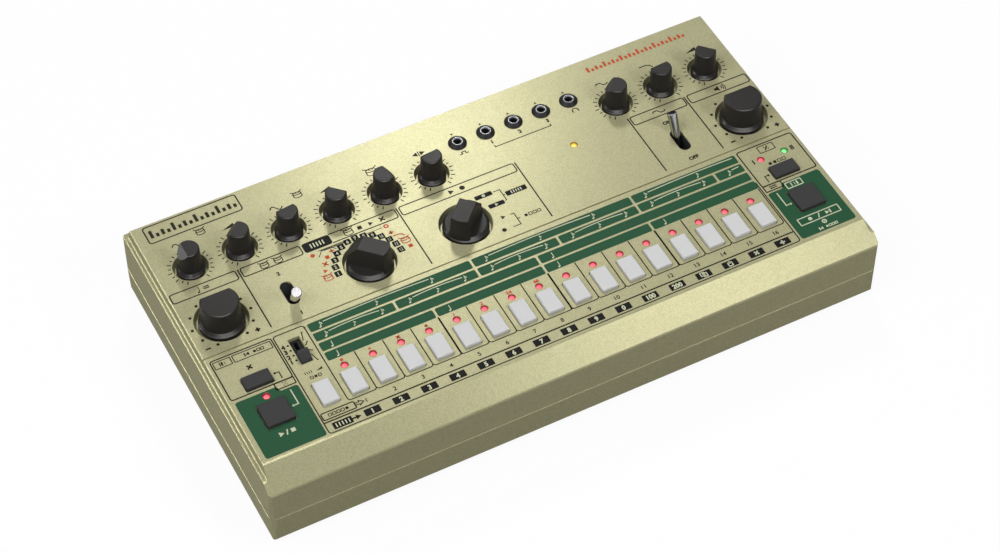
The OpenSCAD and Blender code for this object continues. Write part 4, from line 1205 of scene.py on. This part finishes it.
class DRUM_OT_print_side_blocks(bpy.types.Operator):
    """Print the frames and green fields at the two ends of the panel"""

    bl_idname = "drum.print_side_blocks"
    bl_label = "Print the Side Blocks"

    def execute(self, context):
        dark, green = Print("side_frames", "dark"), Print("side_fields", "green")
        pale = Print("side_signs", "pale")
        self.fill_fields(green)
        for side in (-1, 1):
            self.frame_side(side, dark, pale)
        dice(dark, -122.8, -34.4, 1.0)
        swap(dark, 122.8, -34.4, 0.95)
        self.mark_left(dark, pale)
        self.mark_right(dark, pale)
        for layer in (dark, green, pale):
            layer.finish()
        return {"FINISHED"}

    def fill_fields(self, green):
        """Green fields with room for the large buttons and the start button's lamp."""
        front, mid, back, half = -67.9, -37.3, -34.4, 6.475 + 0.35
        x, y = middle("start_button")
        far, near, bend = -146.7, -118.2, -126.7
        left = [(far, front), (near, front), (near, mid), (bend, mid), (bend, back), (far, back)]
        lamp = arc(x, LAMP_Y, 1.85, 0, 345, 23)
        green.area(eased(left, 1.5), rounded(*around(x, y, half, half), 0.6), lamp)
        x, y = middle("tap_button")
        far, near, bend = 146.8, 118.1, 126.6
        right = [(near, front), (far, front), (far, back), (bend, back), (bend, mid), (near, mid)]
        green.area(eased(right, 1.5), rounded(*around(x, y, half, half), 0.6))

    def frame_side(self, side, dark, pale):
        """A frame, a box below it, and leaders from the small and the large button to it."""

        def box(inner, front, outer, back, radius, width):
            near, far = sorted((side * inner, side * outer))
            dark.frame(near, front, far, back, radius, width)

        box(118.2, -32.6, 147.3, -8.9, 1.3, RULE)
        far = side * 124.5
        dark.dot(far, -27.4, 0.6)
        bend = side * 122.6
        dark.stroke([(far, -27.4), (bend, -27.4), (bend, -31.3)], FINE)
        pale.dot(far, -47.1, 0.6)
        bend = side * 122.2
        pale.stroke([(far, -47.1), (bend, -47.1), (bend, -38.6)], FINE)
        box(118.3, -36.2, 127.4, -32.7, 0.3, LINE)

    def mark_left(self, dark, pale):
        """Two boxes, a cross for the small button, and start and stop for the large one."""
        dark.frame(-146.4, -14.0, -138.4, -10.1, 0.2, THIN)
        dark.frame(-137.3, -14.0, -119.2, -10.1, 0.2, THIN)
        upright(dark, -143.7, -13.1, -11.0, FINE)
        upright(dark, -142.7, -13.1, -11.0, 0.5)
        dark.dot(-141.4, -11.6, 0.3)
        dark.dot(-141.4, -12.5, 0.3)
        to_bar(dark, -130.6, -12.05, 1.0)
        squares(dark, -125.4, -12.05, 3, 1.3, 0.5)
        cross(dark, -SIDE_X, -19.2, 1.1, 0.46)
        play(pale, -SIDE_X - 2.6, -58.7, 1.3)
        slash(pale, -SIDE_X, -58.7, 0.5, 1.4, 0.32)
        stop(pale, -SIDE_X + 2.8, -58.7, 1.2)

    def mark_right(self, dark, pale):
        """A repeat sign, two numerals and signs for the small and the large button."""
        dark.frame(128.4, -14.1, 136.4, -10.1, 0.2, THIN)
        slash(dark, 132.4, -12.1, 0.9, 1.1, 0.42)
        dark.dot(131.5, -11.5, 0.34)
        dark.dot(133.3, -12.7, 0.34)
        dark.word("I", 122.6, -17.3, 2.6, 0.07)
        dark.word("II", 143.2, -17.3, 2.6, 0.07)
        squares(dark, 132.7, -21.5, 4, 1.6, 0.8, (0, 1))
        pale.frame(128.3, -38.8, 136.4, -35.3, 0.2, FINE)
        upright(pale, 131.0, -38.1, -36.0, FINE)
        pale.dot(132.6, -36.6, 0.3)
        pale.dot(132.6, -37.5, 0.3)
        upright(pale, 134.0, -38.1, -36.0, 0.5)
        pale.frame(121.9, -60.9, 142.9, -56.9, 0.2, FINE)
        pale.dot(127.6, -58.9, 1.0)
        slash(pale, 132.2, -58.9, 0.6, 1.3, FINE)
        play(pale, 136.6, -58.9, 1.05)
        upright(pale, 138.2, -60.0, -57.8, 0.4)
        pale.ring(132.6, -63.1, 0.95, 0.32)
        pale.dot(132.6, -63.1, 0.4)
        to_bar(pale, 129.4, -66.2, 0.85)
        squares(pale, 134.6, -66.2, 4, 1.1, 0.5)


# Camera and lights, in metres. A light aims at the middle of the machine, and its power is
# the studio setting of the same name.
CAMERA_PLACE = (-0.369591, -0.716313, 0.972584)
CAMERA_TURN = (0.6975451, 0.0029424, -0.4793535)
SENSOR_WIDTH = 36
AIM = Vector((0, 0, 0.03))
OVER_LEFT = (-1.18, -0.28, 1.46)
OVER_FRONT = (0.54, -0.89, 0.94)
IN_GLOSS = {"mirrored_only": True}
IN_KNOBS = {"mirrored_only": True, "shown_by": KNOBS}
LIGHTS = (
    ("key", (0.40, 0.97, 1.12), 0.22, {}),
    ("side", OVER_LEFT, 1.5, {}),
    ("sheen", OVER_FRONT, 0.36, {}),
    ("window", OVER_LEFT, 1.5, IN_GLOSS),
    ("slope", OVER_FRONT, 0.36, IN_GLOSS),
    ("rim", (-1.27, 0.87, 0.31), 0.3, IN_GLOSS),
    ("glint", (0.135, -0.42, 1.48), 0.13, IN_GLOSS),
    ("bench", (-0.25, -1.25, 0.95), 1.9, IN_KNOBS),
    ("facet", (-1.2, 0.92, 0.2), 0.36, IN_KNOBS),
)


class DRUM_OT_set_stage(bpy.types.Operator):
    """Lay the floor and set the lights and the camera"""

    bl_idname = "drum.set_stage"
    bl_label = "Set the Stage"

    def execute(self, context):
        s = settings("drum_studio")
        self.lay_floor(s)
        self.hang_sky(s)
        for name, place, size, reach in LIGHTS:
            self.light(name, place, size, getattr(s, name), **reach)
        data = bpy.data.cameras.new("camera")
        data.lens = s.focal
        data.sensor_width = SENSOR_WIDTH
        data.clip_end = 20
        camera = bpy.data.objects.new("camera", data)
        camera.location = CAMERA_PLACE
        camera.rotation_euler = CAMERA_TURN
        context.scene.collection.objects.link(camera)
        context.scene.camera = camera
        context.scene.view_settings.view_transform = "Standard"
        return {"FINISHED"}

    def lay_floor(self, s):
        """A round floor that shows white, with a trace of the object's shadow."""
        mesh = bmesh.new()
        bmesh.ops.create_circle(mesh, cap_ends=True, segments=96, radius=6)
        data = bpy.data.meshes.new("floor")
        mesh.to_mesh(data)
        mesh.free()
        floor = bpy.data.objects.new("floor", data)
        bpy.context.scene.collection.objects.link(floor)
        f = Finish("floor_paper", roughness=0.9, specular_ior_level=0.1)
        shown = f.shown()
        f.set("Base Color", f.mix(shown, s.floor, (1, 1, 1)))
        paper = Maths(f, f.shader.outputs[0])
        white = f.node("ShaderNodeEmission")
        blend = f.node("ShaderNodeMixShader", {}, {0: shown * (1 - s.shadow), 1: paper, 2: white})
        f.put(f.tree.nodes["Material Output"].inputs["Surface"], blend)
        data.materials.append(f.material)

    def hang_sky(self, s):
        """A world that shows pale and lights only a little."""
        world = bpy.data.worlds.new("studio")
        bpy.context.scene.world = world
        world.use_nodes = True
        world.node_tree.nodes.clear()
        sky = Nodes(world.node_tree)
        dim = sky.node("ShaderNodeBackground", {}, {"Strength": s.sky})
        pale = sky.node("ShaderNodeBackground")
        blend = sky.node("ShaderNodeMixShader", {}, {0: sky.shown(), 1: dim, 2: pale})
        sky.node("ShaderNodeOutputWorld", {}, {"Surface": blend})

    def light(self, name, place, size, energy, mirrored_only=False, shown_by=()):
        """A square light, or one that only gloss shows, of all pieces or of those in shown_by."""
        data = bpy.data.lights.new(name, "AREA")
        data.size = size
        data.energy = energy
        lamp = bpy.data.objects.new(name, data)
        lamp.location = place
        lamp.visible_diffuse = not mirrored_only
        lamp.rotation_euler = (AIM - Vector(place)).to_track_quat("-Z", "Y").to_euler()
        bpy.context.scene.collection.objects.link(lamp)
        if shown_by:
            lit = bpy.data.collections.new(f"lit_by_{name}")
            for node in shown_by:
                lit.objects.link(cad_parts[node])
            lamp.light_linking.receiver_collection = lit


class DRUM_PT_finishes(bpy.types.Panel):
    """Finishes of the drum machine"""

    bl_idname = "DRUM_PT_finishes"
    bl_label = "Drum Machine"
    bl_space_type = "VIEW_3D"
    bl_region_type = "UI"
    bl_category = "Drum Machine"

    def draw(self, context):
        for operator in OPERATORS:
            self.layout.operator(operator.bl_idname)
        for group in GROUPS:
            box = self.layout.box()
            owner = getattr(context.scene, group)
            for name in owner.__annotations__:
                box.prop(owner, name)


GROUPS = {
    "drum_case": CasePaintSettings,
    "drum_plastic": PlasticSettings,
    "drum_print": PrintSettings,
    "drum_lamps": LampSettings,
    "drum_studio": StudioSettings,
}
OPERATORS = (
    DRUM_OT_set_stage,
    DRUM_OT_paint_case,
    DRUM_OT_finish_knobs,
    DRUM_OT_finish_buttons,
    DRUM_OT_finish_toggles,
    DRUM_OT_light_lamps,
    DRUM_OT_finish_sockets,
    DRUM_OT_print_scales,
    DRUM_OT_print_sections,
    DRUM_OT_print_selectors,
    DRUM_OT_print_beat_bars,
    DRUM_OT_print_steps,
    DRUM_OT_print_side_blocks,
)


def register():
    for cls in (*GROUPS.values(), *OPERATORS, DRUM_PT_finishes):
        bpy.utils.register_class(cls)
    for name, group in GROUPS.items():
        setattr(bpy.types.Scene, name, PointerProperty(type=group))


def unregister():
    for name in GROUPS:
        delattr(bpy.types.Scene, name)
    for cls in (DRUM_PT_finishes, *OPERATORS[::-1], *list(GROUPS.values())[::-1]):
        bpy.utils.unregister_class(cls)


def main():
    register()
    for operator in OPERATORS:
        family, name = operator.bl_idname.split(".")
        getattr(getattr(bpy.ops, family), name)()


if __name__ == "__main__":
    main()
